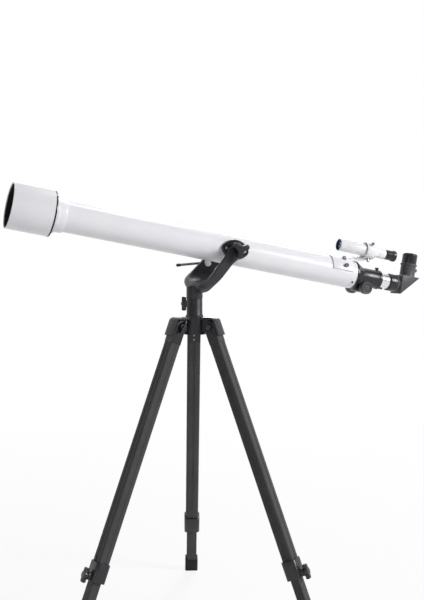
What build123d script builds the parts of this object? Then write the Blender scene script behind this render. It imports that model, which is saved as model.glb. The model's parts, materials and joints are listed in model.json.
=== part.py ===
from build123d import *
import os
from math import atan2, cos, degrees, hypot, radians, sin, sqrt

os.makedirs("parts", exist_ok=True)

# Setting at rest
TUBE_TILT = 10.5
TRIPOD_TURN = 11.5
LEG_SPLAY = 21.0
LEG_COUNT = 3

# Clearances
RUN_FIT = 0.05
BODY_GAP = 0.4
LEG_SLIDE_GAP = 0.45

# Main tube and dew shield, lengths measured along the tube from the altitude pivot
TUBE_R = 32.0
TUBE_WALL = 1.5
TUBE_FRONT = -386.0
TUBE_BACK = 308.0
SHIELD_R = 47.0
SHIELD_WALL = 1.8
SHIELD_LENGTH = 86.0
SHIELD_FLOOR = 3.0
TRIM_THICK = 3.2
TRIM_PROUD = 0.8

# Objective cell and lenses
CELL_SLEEVE_LENGTH = 16.0
CELL_SLEEVE_WALL = 3.0
CELL_STEP_LENGTH = 8.0
CELL_STEP_R = 38.0
CELL_FRONT_LENGTH = 26.0
APERTURE_R = 29.5
LENS_R = 30.5
LENS_LEDGE = 4.0
CROWN_EDGE = 4.0
CROWN_SAG = 3.0
FLINT_EDGE = 5.0
LENS_AIR = 0.5
RETAINER_THICK = 3.5

# Altitude plates, trunnions and knobs
PLATE_HALF_LENGTH = 32.5
PLATE_HALF_HEIGHT = 21.5
PLATE_THICK = 6.5
PLATE_SCREW_REACH = 22.0
PLATE_SCREW_R = 3.6
PLATE_SCREW_HEAD = 1.6
TRUNNION_R = 9.0
STUD_R = 4.0
KNOB_HUB_R = 8.5
KNOB_NECK = 10.0
LOBE_COUNT = 3
LOBE_REACH = 14.0
LOBE_R = 6.0
LOBE_THICK = 9.0

# Yoke
PIVOT_REACH = 80.0
PIVOT_RISE = 105.0
ARM_THICK = 12.0
ARM_EYE_R = 15.0
YOKE_NECK_R = 17.5
YOKE_NECK_H = 13.0
YOKE_CROTCH = 33.0
YOKE_CROTCH_RISE = 26.0
YOKE_FLARE_TOP = 54.0
YOKE_BASE_X = 11.0
YOKE_BASE_Z = 32.0
YOKE_BASE_R = 19.0
YOKE_OUTER_ROUND = 3.0
YOKE_INNER_ROUND = 2.0

# Azimuth spindle, washer and lock
SPINDLE_R = 9.0
SPINDLE_FLANGE_R = 13.0
SPINDLE_FLANGE_H = 4.0
WASHER_THICK = 1.2
LOCK_STUD_R = 3.5
LOCK_BOSS_R = 7.5
LOCK_BOSS_PROUD = 4.0
LOCK_DROP = 11.5

# Slow-motion rod, its clamp on the far arm and its bracket on the tube
CLAMP_BACK = -36.0
CLAMP_DROP = -28.5
ROD_SLOPE = 4.65
ROD_R = 2.9
ROD_TAIL = 64.0
ROD_EYE_R = 7.0
ROD_EYE_HALF = 3.5
EYE_BOLT_R = 3.0
EYE_R = 7.0
ROD_NUT_R = 8.0
ROD_NUT_THICK = 4.8
BRACKET_POST_R = 6.0
BRACKET_FLANGE_R = 10.0
BRACKET_FLANGE_H = 3.0
BRACKET_PIN_R = 3.0
BRACKET_HEAD_R = 5.0
BRACKET_HEAD_H = 2.0

# Focuser
FLANGE_THICK = 6.0
FLANGE_PROUD = 0.8
PLUG_LENGTH = 18.0
CONE_LENGTH = 16.0
HOUSING_R = 21.0
HOUSING_LENGTH = 73.0
DRAWTUBE_R = 17.5
DRAWTUBE_WALL = 1.5
DRAWTUBE_INSIDE = 50.0
DRAWTUBE_SHOWN = 26.0
RACK_WIDTH = 6.0
RACK_HEIGHT = 2.6
PINION_BACK = 25.0
PINION_R = 5.6
PINION_SHAFT_R = 3.0
PINION_HALF = 6.0
BOX_HALF_LENGTH = 13.0
BOX_HALF_WIDTH = 18.0
KNOB_STANDOFF = 3.0
BOX_FLOOR = 4.0
FOCUS_KNOB_R = 14.0
FOCUS_KNOB_THICK = 15.0
FOCUS_KNOB_CUP = 3.0
DIMPLE_COUNT = 12
DIMPLE_R = 1.3
DIMPLE_RING = 8.6
DIMPLE_DEPTH = 1.2
TUBE_SCREW_COUNT = 3
TUBE_SCREW_ANGLE = 125.0
TUBE_SCREW_BACK = 8.5
TUBE_SCREW_R = 2.6
TUBE_SCREW_HEAD = 1.4
FOCUS_LOCK_AHEAD = 8.0
FOCUS_LOCK_R = 2.0
THUMB_R = 4.2
THUMB_H = 5.0

# Drawtube collar, star diagonal and eyepiece
COLLAR_R = 20.0
COLLAR_LENGTH = 17.0
BARREL_R = 15.875
BARREL_LENGTH = 24.0
BARREL_WALL = 1.6
NOSE_R = 18.6
NOSE_LENGTH = 8.0
PRISM_LEG = 46.0
PRISM_TOP = 22.0
PRISM_HALF_WIDTH = 21.0
PRISM_WALL = 2.5
PRISM_BEVEL = 1.6
LIGHT_R = 13.0
MIRROR_THICK = 3.0
HOLDER_R = 17.6
HOLDER_RISE = 30.0
HOLDER_RIM_R = 19.2
HOLDER_RIM_H = 5.0
SET_SCREW_R = 2.0
SET_SCREW_DROP = 8.0
EYEPIECE_R = 17.2
EYEPIECE_H = 24.0
EYEPIECE_ROUND = 4.0
EYEPIECE_CUP_R = 9.0
EYEPIECE_CUP_DEPTH = 3.0
EYEPIECE_BARREL_LENGTH = 24.0
EYEPIECE_BARREL_WALL = 2.0

# Finder
FINDER_SIDE = -24.0
FINDER_RISE = 59.0
FINDER_AHEAD = 57.0
FINDER_BODY_LENGTH = 95.0
FINDER_REAR_LENGTH = 25.0
FINDER_R = 13.6
FINDER_REAR_R = 11.4
FINDER_WALL = 1.4
FINDER_LENS_THICK = 3.0
FINDER_LENS_SET = 4.0
FINDER_EYE_LENGTH = 28.0
FINDER_EYE_R = 11.2
FINDER_EYE_FLARE = 12.6
FINDER_EYE_SPIGOT = 8.0
RING_BACK = 10.0
RING_LENGTH = 22.0
RING_R = 18.0
RING_WALL = 2.6
FINDER_SCREW_R = 1.8
FINDER_SCREW_HEAD_R = 3.4
FINDER_SCREW_HEAD_H = 4.5
FINDER_SCREW_SHOWN = 3.0
FINDER_SCREW_COUNT = 3
PAD_LENGTH = 52.0
PAD_MARGIN = 2.0
PAD_THICK = 2.6
PAD_LOW_ANGLE = 8.0
PAD_HIGH_ANGLE = 82.0
NUT_BACK = 20.0
NUT_R = 4.6
NUT_H = 6.0
NUT_ANGLES = (26.0, 62.0)
STEM_WIDTH = 15.0
STEM_FOOT = 11.0

# Tripod head
SOCKET_R = 17.0
SOCKET_H = 39.0
HUB_R = 25.0
HUB_DROP = 37.0
HINGE_R = 41.5
HINGE_DROP = 19.0
HOOD_TOP = 4.6
HOOD_SKIRT = 4.0
HOOD_REACH = 25.0
HOOD_ROUND = 11.0
LUG_WIDTH = 16.0
LUG_R = 11.0
BOLT_R = 4.0
BOLT_HEAD_R = 6.5
BOLT_HEAD_H = 4.0
WING_NUT_R = 5.5
WING_NUT_H = 7.0
WING_REACH = 15.0
WING_THICK = 3.0
WING_HEIGHT = 9.0
WING_TURN = 60.0

# Legs, lengths measured down the leg from its hinge
LEG_REACH = 661.0
LEG_WIDTH = 29.0
LEG_DEPTH = 25.0
LEG_WALL = 1.6
LEG_CORNER = 4.0
LEG_GROOVE_WIDTH = 5.0
LEG_GROOVE_DEPTH = 0.7
EAR_R = 12.0
FORK_FLOOR = 13.5
BRACKET_LENGTH = 38.0
BRACKET_PLUG = 20.0
UPPER_LEG_END = 525.0
LOWER_LEG_TOP = 66.0
LOWER_LEG_WALL = 1.4
CLAMP_WALL = 3.4
CLAMP_OVERLAP = 22.0
CLAMP_SKIRT = 16.0
CLAMP_BOSS = 6.0
CLAMP_BOSS_LEG_R = 8.0
LEG_STUD_R = 3.0
LEG_KNOB_R = 8.0
LEG_KNOB_H = 9.0
LEG_KNOB_WING = 15.0
FOOT_LENGTH = 34.0
FOOT_WALL = 3.2
FOOT_SOLE = 12.0

# Places that follow from the sizes above
HINGE_Z = LEG_REACH * cos(radians(LEG_SPLAY))
HEAD_TOP_Z = HINGE_Z + HINGE_DROP
SEAM_Z = HEAD_TOP_Z + SOCKET_H
PIVOT_Z = SEAM_Z + PIVOT_RISE
TUBE_BORE = TUBE_R - TUBE_WALL
PLATE_FACE = TUBE_R + PLATE_THICK
ARM_IN = PLATE_FACE + BODY_GAP
ARM_OUT = ARM_IN + ARM_THICK
SHIELD_BACK = TUBE_FRONT - CELL_STEP_LENGTH - TRIM_THICK
SHIELD_FRONT = SHIELD_BACK - SHIELD_LENGTH
CELL_FRONT = SHIELD_BACK - CELL_FRONT_LENGTH
LEDGE_X = TUBE_FRONT - LENS_LEDGE
FLINT_X = LEDGE_X - FLINT_EDGE
CROWN_X = FLINT_X - LENS_AIR - CROWN_EDGE
HOUSING_END = TUBE_BACK + HOUSING_LENGTH
PINION_X = TUBE_BACK + PINION_BACK
FOCUS_LOCK_X = HOUSING_END - FOCUS_LOCK_AHEAD
DRAWTUBE_START = TUBE_BACK - DRAWTUBE_INSIDE
DRAWTUBE_END = HOUSING_END + DRAWTUBE_SHOWN
COLLAR_END = DRAWTUBE_END + COLLAR_LENGTH
PRISM_X = COLLAR_END + BODY_GAP + NOSE_LENGTH
EYE_AXIS_X = PRISM_X + PRISM_LEG - PRISM_TOP
HOLDER_TOP = PRISM_TOP + HOLDER_RISE
RACK_BOTTOM = DRAWTUBE_R + RACK_HEIGHT
PINION_DROP = RACK_BOTTOM + BODY_GAP + PINION_R
BOX_BOTTOM = PINION_DROP + PINION_R + BODY_GAP + BOX_FLOOR
ROD_Y = ARM_OUT + BODY_GAP + EYE_R
ROD_SPAN = -2.0 * (CLAMP_BACK * cos(radians(ROD_SLOPE)) + CLAMP_DROP * sin(radians(ROD_SLOPE)))
ROD_PIVOT_X = CLAMP_BACK + ROD_SPAN * cos(radians(ROD_SLOPE))
ROD_PIVOT_Z = CLAMP_DROP + ROD_SPAN * sin(radians(ROD_SLOPE))
LEG_ANGLES = [180.0 + TRIPOD_TURN + 360.0 / LEG_COUNT * i for i in range(LEG_COUNT)]
LOCK_ANGLE = LEG_ANGLES[0] - 180.0 / LEG_COUNT
LOCK_Z = SEAM_Z - LOCK_DROP
LOWER_WIDTH = LEG_WIDTH - 2.0 * (LEG_WALL + LEG_GROOVE_DEPTH + LEG_SLIDE_GAP)
LOWER_DEPTH = LEG_DEPTH - 2.0 * (LEG_WALL + LEG_GROOVE_DEPTH + LEG_SLIDE_GAP)
LEG_KNOB_Z = UPPER_LEG_END + 0.5 * CLAMP_SKIRT
PAD_END = TUBE_BACK - TUBE_SCREW_BACK - TUBE_SCREW_R - PAD_MARGIN
PAD_START = PAD_END - PAD_LENGTH
FINDER_FRONT = TUBE_BACK - FINDER_AHEAD
FINDER_NECK = FINDER_FRONT + FINDER_BODY_LENGTH
FINDER_BACK = FINDER_NECK + FINDER_REAR_LENGTH
RING_START = TUBE_BACK + RING_BACK
FINDER_ANGLE = degrees(atan2(FINDER_RISE, -FINDER_SIDE))

LOW = (Align.CENTER, Align.CENTER, Align.MIN)


def along(axis, radius, start, stop):
    """Round bar along X, Y or Z between two stations."""
    plane = {"X": Plane.YZ, "Y": Plane.ZX, "Z": Plane.XY}[axis]
    return plane.offset(start) * Cylinder(radius, stop - start, align=LOW)


def ring(axis, outer, inner, start, stop):
    """Round tube along X, Y or Z between two stations."""
    return along(axis, outer, start, stop) - along(axis, inner, start, stop)


def turned(*profile):
    """Solid turned about X from points given as station and radius."""
    return revolve(make_face(Polyline(*profile, close=True)), Axis.X)


def in_side_plane(outline, half_width):
    """Plate with an outline in X and Z, spread evenly to both sides in Y."""
    return extrude(Plane.XZ * outline, amount=half_width, both=True)


def block(x0, x1, y0, y1, z0, z1):
    """Box between two corners."""
    return Pos((x0 + x1) / 2, (y0 + y1) / 2, (z0 + z1) / 2) * Box(x1 - x0, y1 - y0, z1 - z0)


def lobe_knob(stud_length):
    """Three-lobed knob on a stud; its seat is at the origin and it rises along Z."""
    star = Circle(KNOB_HUB_R)
    for i in range(LOBE_COUNT):
        lobe = Pos(LOBE_REACH / 2, 0) * Rectangle(LOBE_REACH, 2 * LOBE_R)
        lobe += Pos(LOBE_REACH, 0) * Circle(LOBE_R)
        star += Rot(0, 0, 90 + 360 / LOBE_COUNT * i) * lobe
    star = fillet(star.vertices().filter_by(lambda v: hypot(v.X, v.Y) < LOBE_REACH - 1), LOBE_R / 3)
    head = extrude(star, LOBE_THICK)
    head = chamfer(head.faces().sort_by(Axis.Z)[-1].edges(), LOBE_THICK / 9)
    knob = Pos(0, 0, KNOB_NECK) * head + Cylinder(KNOB_HUB_R, KNOB_NECK + LOBE_THICK / 2, align=LOW)
    return knob + Pos(0, 0, -stud_length) * Cylinder(STUD_R, stud_length, align=LOW)


def thumb_screw(shank_r, shank_length, head_r, head_h):
    """Knurled thumb screw; its seat is at the origin and its head rises along Z."""
    head = chamfer(Cylinder(head_r, head_h, align=LOW).edges(), head_h / 8)
    return head + Pos(0, 0, -shank_length) * Cylinder(shank_r, shank_length, align=LOW)


def main_tube():
    """White optical tube."""
    return ring("X", TUBE_R, TUBE_BORE, TUBE_FRONT, TUBE_BACK)


def objective_cell():
    """Stepped lens cell over the front end of the tube."""
    sleeve_r = TUBE_R + CELL_SLEEVE_WALL
    return turned(
        (CELL_FRONT, CELL_STEP_R),
        (SHIELD_BACK + TRIM_THICK, CELL_STEP_R),
        (TUBE_FRONT - 1, CELL_STEP_R - 1.5),
        (TUBE_FRONT, sleeve_r),
        (TUBE_FRONT + CELL_SLEEVE_LENGTH - 1, sleeve_r),
        (TUBE_FRONT + CELL_SLEEVE_LENGTH, sleeve_r - 1),
        (TUBE_FRONT + CELL_SLEEVE_LENGTH, TUBE_R),
        (TUBE_FRONT, TUBE_R),
        (TUBE_FRONT, APERTURE_R),
        (LEDGE_X, APERTURE_R),
        (LEDGE_X, LENS_R),
        (CELL_FRONT, LENS_R),
    )


def crown_front(radius):
    """Station of the bulging front of the crown lens at a radius."""
    bulge_r = (LENS_R**2 + CROWN_SAG**2) / (2 * CROWN_SAG)
    return CROWN_X - CROWN_SAG + bulge_r - sqrt(bulge_r**2 - radius**2)


def objective_lens():
    """Two lens elements with an air gap, bulging to the front."""
    bulge_r = (LENS_R**2 + CROWN_SAG**2) / (2 * CROWN_SAG)
    crown = along("X", LENS_R, CROWN_X - CROWN_SAG, CROWN_X + CROWN_EDGE)
    crown = crown & (Pos(CROWN_X - CROWN_SAG + bulge_r, 0, 0) * Sphere(bulge_r))
    flint = along("X", LENS_R, FLINT_X, FLINT_X + FLINT_EDGE)
    return Compound([crown.solid(), flint.solid()])


def lens_retainer():
    """Black ring holding the lens in its cell."""
    seat = crown_front(APERTURE_R)
    front = seat - RETAINER_THICK
    return turned((front, LENS_R), (seat, LENS_R), (seat, APERTURE_R), (front, APERTURE_R))


def dew_shield():
    """Wide white shield ahead of the lens, open at the front."""
    inner = SHIELD_R - SHIELD_WALL
    return turned(
        (SHIELD_FRONT, SHIELD_R - 0.6),
        (SHIELD_FRONT + 0.6, SHIELD_R),
        (SHIELD_BACK, SHIELD_R),
        (SHIELD_BACK, CELL_STEP_R),
        (SHIELD_BACK - SHIELD_FLOOR, CELL_STEP_R),
        (SHIELD_BACK - SHIELD_FLOOR, inner),
        (SHIELD_FRONT, inner),
    )


def shield_trim_ring():
    """Black ring at the back edge of the shield."""
    edge = SHIELD_R + TRIM_PROUD
    back = SHIELD_BACK + TRIM_THICK
    return turned(
        (SHIELD_BACK, CELL_STEP_R),
        (SHIELD_BACK, edge),
        (back - 1.0, edge),
        (back, edge - 1.0),
        (back, CELL_STEP_R),
    )


def plate_screw_places():
    """Stations of the screws along the altitude plate."""
    return (-PLATE_SCREW_REACH, PLATE_SCREW_REACH)


def altitude_plate():
    """Oval plate on the far flank of the tube with its trunnion."""
    arc_r = (PLATE_HALF_LENGTH**2 + PLATE_HALF_HEIGHT**2) / (2 * PLATE_HALF_HEIGHT)
    arc_drop = arc_r - PLATE_HALF_HEIGHT
    oval = Pos(0, -arc_drop) * Circle(arc_r) & Pos(0, arc_drop) * Circle(arc_r)
    oval = fillet(oval.vertices(), PLATE_HALF_HEIGHT / 2)
    plate = extrude(Plane.XZ.offset(-TUBE_R / 2) * oval, amount=TUBE_R / 2 - PLATE_FACE)
    plate -= along("X", TUBE_R, -2 * PLATE_HALF_LENGTH, 2 * PLATE_HALF_LENGTH)
    plate = chamfer(plate.faces().sort_by(Axis.Y)[-1].edges(), PLATE_THICK / 4)
    for x in plate_screw_places():
        plate -= Pos(x, 0, 0) * along("Y", PLATE_SCREW_R, PLATE_FACE - PLATE_SCREW_HEAD, PLATE_FACE)
    plate += along("Y", TRUNNION_R, PLATE_FACE - PLATE_THICK / 2, ARM_OUT - BODY_GAP)
    plate -= along("Y", STUD_R + RUN_FIT, TUBE_R, ARM_OUT)
    return plate.solid()


def altitude_plates():
    """Both altitude plates."""
    far = altitude_plate()
    return Compound([far, mirror(far, Plane.XZ)])


def plate_screws():
    """Two flush screws in each altitude plate."""
    heads = []
    for x in plate_screw_places():
        head = Pos(x, 0, 0) * along("Y", PLATE_SCREW_R, PLATE_FACE - PLATE_SCREW_HEAD, PLATE_FACE - 0.2)
        heads += [head.solid(), mirror(head, Plane.XZ).solid()]
    return Compound(heads)


def altitude_knob(side):
    """Lobed clamp knob screwed into a trunnion."""
    seat = ARM_OUT + BODY_GAP
    knob = Pos(0, seat, 0) * Rot(-90, 0, 0) * lobe_knob(seat - TUBE_R - 2 * BODY_GAP)
    return knob if side > 0 else mirror(knob, Plane.XZ)


def rod_pivot_on_tube():
    """Place of the rod pivot measured along and square to the tube."""
    tilt = radians(TUBE_TILT)
    along_tube = ROD_PIVOT_X * cos(tilt) - ROD_PIVOT_Z * sin(tilt)
    above_tube = ROD_PIVOT_X * sin(tilt) + ROD_PIVOT_Z * cos(tilt)
    return along_tube, above_tube


def rod_bracket():
    """Post on the far flank of the tube with the pin for the rod."""
    x, z = rod_pivot_on_tube()
    widest = min(abs(z) + BRACKET_FLANGE_R, TUBE_R)
    inner = sqrt(TUBE_R**2 - widest**2)
    shoulder = ROD_Y - ROD_EYE_HALF - BODY_GAP
    pin_end = ROD_Y + ROD_EYE_HALF + BODY_GAP
    surface = sqrt(TUBE_R**2 - z**2)
    post = along("Y", BRACKET_FLANGE_R, inner, surface + BRACKET_FLANGE_H)
    post += along("Y", BRACKET_POST_R, surface, shoulder)
    post += along("Y", BRACKET_PIN_R, shoulder, pin_end)
    post += along("Y", BRACKET_HEAD_R, pin_end, pin_end + BRACKET_HEAD_H)
    return (Pos(x, 0, z) * post - along("X", TUBE_R, x - 2 * TUBE_R, x + 2 * TUBE_R)).solid()


def altitude_rod():
    """Polished rod with an eye, in its own frame with the eye at the origin and the rod along -X."""
    eye = along("Y", ROD_EYE_R, -ROD_EYE_HALF, ROD_EYE_HALF)
    bar = along("X", ROD_R, -(ROD_SPAN + ROD_TAIL), 0)
    rod = eye + chamfer(bar.faces().sort_by(Axis.X)[0].edges(), ROD_R / 3)
    return rod - along("Y", BRACKET_PIN_R + RUN_FIT, -2 * ROD_EYE_HALF, 2 * ROD_EYE_HALF)


def rod_eye_bolt():
    """Eye bolt through the far arm; the eye lies at the origin and the shank runs to -Y."""
    eye = chamfer(along("Z", EYE_R, -EYE_R, EYE_R).edges(), EYE_R / 4)
    shank_end = ARM_IN - ROD_NUT_THICK - ROD_Y
    bolt = eye + along("Y", EYE_BOLT_R, shank_end, 0)
    return bolt - along("X", ROD_R + BODY_GAP, -2 * EYE_R, 2 * EYE_R)


def rod_nut():
    """Knurled nut on the inner end of the eye bolt, in the eye bolt's frame."""
    start = ARM_IN - BODY_GAP - ROD_NUT_THICK - ROD_Y
    nut = along("Y", ROD_NUT_R, start, start + ROD_NUT_THICK)
    nut = chamfer(nut.edges(), ROD_NUT_THICK / 7)
    return nut - along("Y", EYE_BOLT_R + RUN_FIT, start + BODY_GAP, start + 2 * ROD_NUT_THICK)


def focuser_housing():
    """Black focuser body with its flange, pinion box and bore."""
    cone_end = TUBE_BACK + FLANGE_THICK + CONE_LENGTH
    flange_r = TUBE_R + FLANGE_PROUD
    body = turned(
        (TUBE_BACK - PLUG_LENGTH, 0),
        (TUBE_BACK - PLUG_LENGTH, TUBE_BORE),
        (TUBE_BACK, TUBE_BORE),
        (TUBE_BACK, flange_r),
        (TUBE_BACK + FLANGE_THICK - 1.5, flange_r),
        (TUBE_BACK + FLANGE_THICK, flange_r - 1.5),
        (cone_end, HOUSING_R + 1.5),
        (cone_end, HOUSING_R),
        (HOUSING_END - 7, HOUSING_R),
        (HOUSING_END - 6, HOUSING_R + 1),
        (HOUSING_END - 1, HOUSING_R + 1),
        (HOUSING_END, HOUSING_R),
        (HOUSING_END, 0),
    )
    x0, x1 = PINION_X - BOX_HALF_LENGTH, PINION_X + BOX_HALF_LENGTH
    box = block(x0, x1, -BOX_HALF_WIDTH, BOX_HALF_WIDTH, -BOX_BOTTOM, 0)
    box = fillet(box.faces().sort_by(Axis.Z)[0].edges(), BOX_FLOOR)
    body += box
    hollow = turned(
        (TUBE_BACK - PLUG_LENGTH, 0),
        (TUBE_BACK - PLUG_LENGTH, TUBE_BORE - 2.5),
        (TUBE_BACK + FLANGE_THICK / 2, TUBE_BORE - 2.5),
        (TUBE_BACK + FLANGE_THICK, DRAWTUBE_R + RUN_FIT),
        (HOUSING_END, DRAWTUBE_R + RUN_FIT),
        (HOUSING_END, 0),
    )
    body -= hollow
    slot_half = RACK_WIDTH / 2 + BODY_GAP
    body -= block(TUBE_BACK, HOUSING_END, -slot_half, slot_half, -RACK_BOTTOM - BODY_GAP, 0)
    nest = along("Y", PINION_R + BODY_GAP, -PINION_HALF - BODY_GAP, PINION_HALF + BODY_GAP)
    body -= Pos(PINION_X, 0, -PINION_DROP) * nest
    shaft_way = along("Y", PINION_SHAFT_R + RUN_FIT, -2 * BOX_HALF_WIDTH, 2 * BOX_HALF_WIDTH)
    body -= Pos(PINION_X, 0, -PINION_DROP) * shaft_way
    body -= Pos(FOCUS_LOCK_X, 0, 0) * along("Z", FOCUS_LOCK_R + RUN_FIT, 0, 2 * HOUSING_R)
    return body.solid()


def focuser_screws():
    """Black screws round the back end of the tube."""
    heads = []
    for i in range(TUBE_SCREW_COUNT):
        head = Cylinder(TUBE_SCREW_R, TUBE_SCREW_HEAD + 1, align=LOW)
        head = chamfer(head.faces().sort_by(Axis.Z)[-1].edges(), TUBE_SCREW_HEAD / 3)
        head = Pos(TUBE_BACK - TUBE_SCREW_BACK, 0, TUBE_R - 1) * head
        head = Rot(TUBE_SCREW_ANGLE + 360 / TUBE_SCREW_COUNT * i, 0, 0) * head
        heads.append((head - along("X", TUBE_R, TUBE_FRONT, TUBE_BACK)).solid())
    return Compound(heads)


def focus_lock_screw():
    """Thumb screw that locks the drawtube."""
    seat = HOUSING_R + 1 + BODY_GAP
    shank = seat - DRAWTUBE_R - BODY_GAP
    return Pos(FOCUS_LOCK_X, 0, seat) * thumb_screw(FOCUS_LOCK_R, shank, THUMB_R, THUMB_H)


def drawtube():
    """Chromed drawtube."""
    return ring("X", DRAWTUBE_R, DRAWTUBE_R - DRAWTUBE_WALL, DRAWTUBE_START, DRAWTUBE_END)


def focus_rack():
    """Rack along the underside of the drawtube."""
    half = RACK_WIDTH / 2
    rack = block(DRAWTUBE_START, DRAWTUBE_END - DRAWTUBE_SHOWN / 2, -half, half, -RACK_BOTTOM, 0)
    return (rack - along("X", DRAWTUBE_R, DRAWTUBE_START, DRAWTUBE_END)).solid()


def drawtube_collar():
    """Black collar on the end of the drawtube with the socket for the diagonal."""
    return turned(
        (DRAWTUBE_END - 2, DRAWTUBE_R),
        (DRAWTUBE_END - 2, COLLAR_R - 1),
        (DRAWTUBE_END - 1, COLLAR_R),
        (COLLAR_END - 1, COLLAR_R),
        (COLLAR_END, COLLAR_R - 1),
        (COLLAR_END, BARREL_R + RUN_FIT),
        (DRAWTUBE_END, BARREL_R + RUN_FIT),
        (DRAWTUBE_END, DRAWTUBE_R),
    )


def pinion_shaft():
    """Focuser shaft with its pinion."""
    half = HOUSING_R + KNOB_STANDOFF + FOCUS_KNOB_THICK - FOCUS_KNOB_CUP
    shaft = along("Y", PINION_SHAFT_R, -half, half) + along("Y", PINION_R, -PINION_HALF, PINION_HALF)
    return Pos(PINION_X, 0, -PINION_DROP) * shaft


def focus_knob():
    """Cupped focus knob with a ring of dimples in its face, on the far side."""
    start = HOUSING_R + KNOB_STANDOFF
    stop = start + FOCUS_KNOB_THICK
    knob = along("Y", FOCUS_KNOB_R, start, stop)
    knob = chamfer(knob.edges(), FOCUS_KNOB_THICK / 10)
    knob -= along("Y", FOCUS_KNOB_R - 2.6, stop - 1, stop)
    for i in range(DIMPLE_COUNT):
        dimple = Pos(DIMPLE_RING, 0, 0) * along("Y", DIMPLE_R, stop - 1 - DIMPLE_DEPTH, stop)
        knob -= Rot(0, 360 / DIMPLE_COUNT * i, 0) * dimple
    knob -= along("Y", PINION_SHAFT_R, start, stop - FOCUS_KNOB_CUP)
    return Pos(PINION_X, 0, -PINION_DROP) * knob


def focus_knobs():
    """Both focus knobs."""
    far = focus_knob().solid()
    return Compound([far, mirror(far, Plane.XZ)])


def prism_outline():
    """Three-cornered side view of the diagonal's body."""
    low = (PRISM_X, PRISM_TOP - PRISM_LEG)
    back = (PRISM_X + PRISM_LEG, PRISM_TOP)
    return make_face(Polyline(low, back, (PRISM_X, PRISM_TOP), close=True))


def prism_room():
    """Room inside the diagonal's body."""
    inset = offset(prism_outline(), -PRISM_WALL - MIRROR_THICK / 2)
    return in_side_plane(inset, PRISM_HALF_WIDTH - PRISM_WALL)


def diagonal_housing():
    """Star diagonal: nose barrel, three-cornered body and eyepiece holder."""
    body = in_side_plane(prism_outline(), PRISM_HALF_WIDTH)
    body = chamfer(body.edges().filter_by(Axis.Y), PRISM_BEVEL)
    body -= prism_room()
    nose_start = COLLAR_END + BODY_GAP
    body += along("X", NOSE_R, nose_start, PRISM_X)
    body += along("X", BARREL_R, nose_start - BARREL_LENGTH, nose_start)
    holder = Pos(EYE_AXIS_X, 0, 0) * along("Z", HOLDER_R, PRISM_TOP, HOLDER_TOP)
    rim = Pos(EYE_AXIS_X, 0, 0) * along("Z", HOLDER_RIM_R, HOLDER_TOP - HOLDER_RIM_H, HOLDER_TOP)
    body += holder + chamfer(rim.edges(), 0.8)
    body -= along("X", BARREL_R - BARREL_WALL, nose_start - BARREL_LENGTH, PRISM_X)
    body -= along("X", LIGHT_R, PRISM_X - 1, PRISM_X + 2 * PRISM_WALL)
    bore = along("Z", BARREL_R + RUN_FIT, HOLDER_TOP - EYEPIECE_BARREL_LENGTH - 1, HOLDER_TOP)
    body -= Pos(EYE_AXIS_X, 0, 0) * (bore + along("Z", LIGHT_R, PRISM_TOP - 2 * PRISM_WALL, HOLDER_TOP))
    set_way = along("X", SET_SCREW_R + RUN_FIT, EYE_AXIS_X, EYE_AXIS_X + 2 * HOLDER_R)
    body -= Pos(0, 0, HOLDER_TOP - HOLDER_RIM_H - SET_SCREW_DROP) * set_way
    return body.solid()


def diagonal_mirror():
    """Mirror plate on the slanting wall of the diagonal."""
    wall = PRISM_WALL + MIRROR_THICK / 2
    slab = Pos(PRISM_X + PRISM_LEG / 2, 0, PRISM_TOP - PRISM_LEG / 2) * Rot(0, -45, 0) * Pos(0, 0, wall)
    slab = slab * Box(2 * PRISM_LEG, 2 * PRISM_HALF_WIDTH, 2 * MIRROR_THICK)
    return (prism_room() & slab).solid()


def eyepiece_screw():
    """Set screw in the eyepiece holder."""
    seat = EYE_AXIS_X + HOLDER_R + BODY_GAP
    shank = seat - EYE_AXIS_X - BARREL_R - BODY_GAP
    screw = Rot(0, 90, 0) * thumb_screw(SET_SCREW_R, shank, THUMB_R, THUMB_H)
    return Pos(seat, 0, HOLDER_TOP - HOLDER_RIM_H - SET_SCREW_DROP) * screw


def eyepiece_barrel():
    """Chromed barrel of the eyepiece."""
    start = HOLDER_TOP - EYEPIECE_BARREL_LENGTH
    barrel = ring("Z", BARREL_R, BARREL_R - EYEPIECE_BARREL_WALL, start, HOLDER_TOP)
    return Pos(EYE_AXIS_X, 0, 0) * barrel


def eyepiece_body():
    """Black eyepiece head with a rounded rim and a hollow for the eye."""
    start = HOLDER_TOP + BODY_GAP
    stop = start + EYEPIECE_H
    head = along("Z", EYEPIECE_R, start, stop)
    head = fillet(head.faces().sort_by(Axis.Z)[-1].edges(), EYEPIECE_ROUND)
    head += along("Z", BARREL_R, HOLDER_TOP, start)
    head -= along("Z", EYEPIECE_CUP_R, stop - EYEPIECE_CUP_DEPTH, stop)
    head -= along("Z", EYEPIECE_CUP_R - 2, stop - 2 * EYEPIECE_CUP_DEPTH, stop)
    return Pos(EYE_AXIS_X, 0, 0) * head


def eyepiece_lens():
    """Eye lens at the bottom of the hollow."""
    stop = HOLDER_TOP + BODY_GAP + EYEPIECE_H - EYEPIECE_CUP_DEPTH
    return Pos(EYE_AXIS_X, 0, 0) * along("Z", EYEPIECE_CUP_R - 2, stop - EYEPIECE_CUP_DEPTH, stop)


def on_finder_axis(shape):
    """Moves a piece turned about the tube axis onto the finder axis."""
    return Pos(0, FINDER_SIDE, FINDER_RISE) * shape


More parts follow.
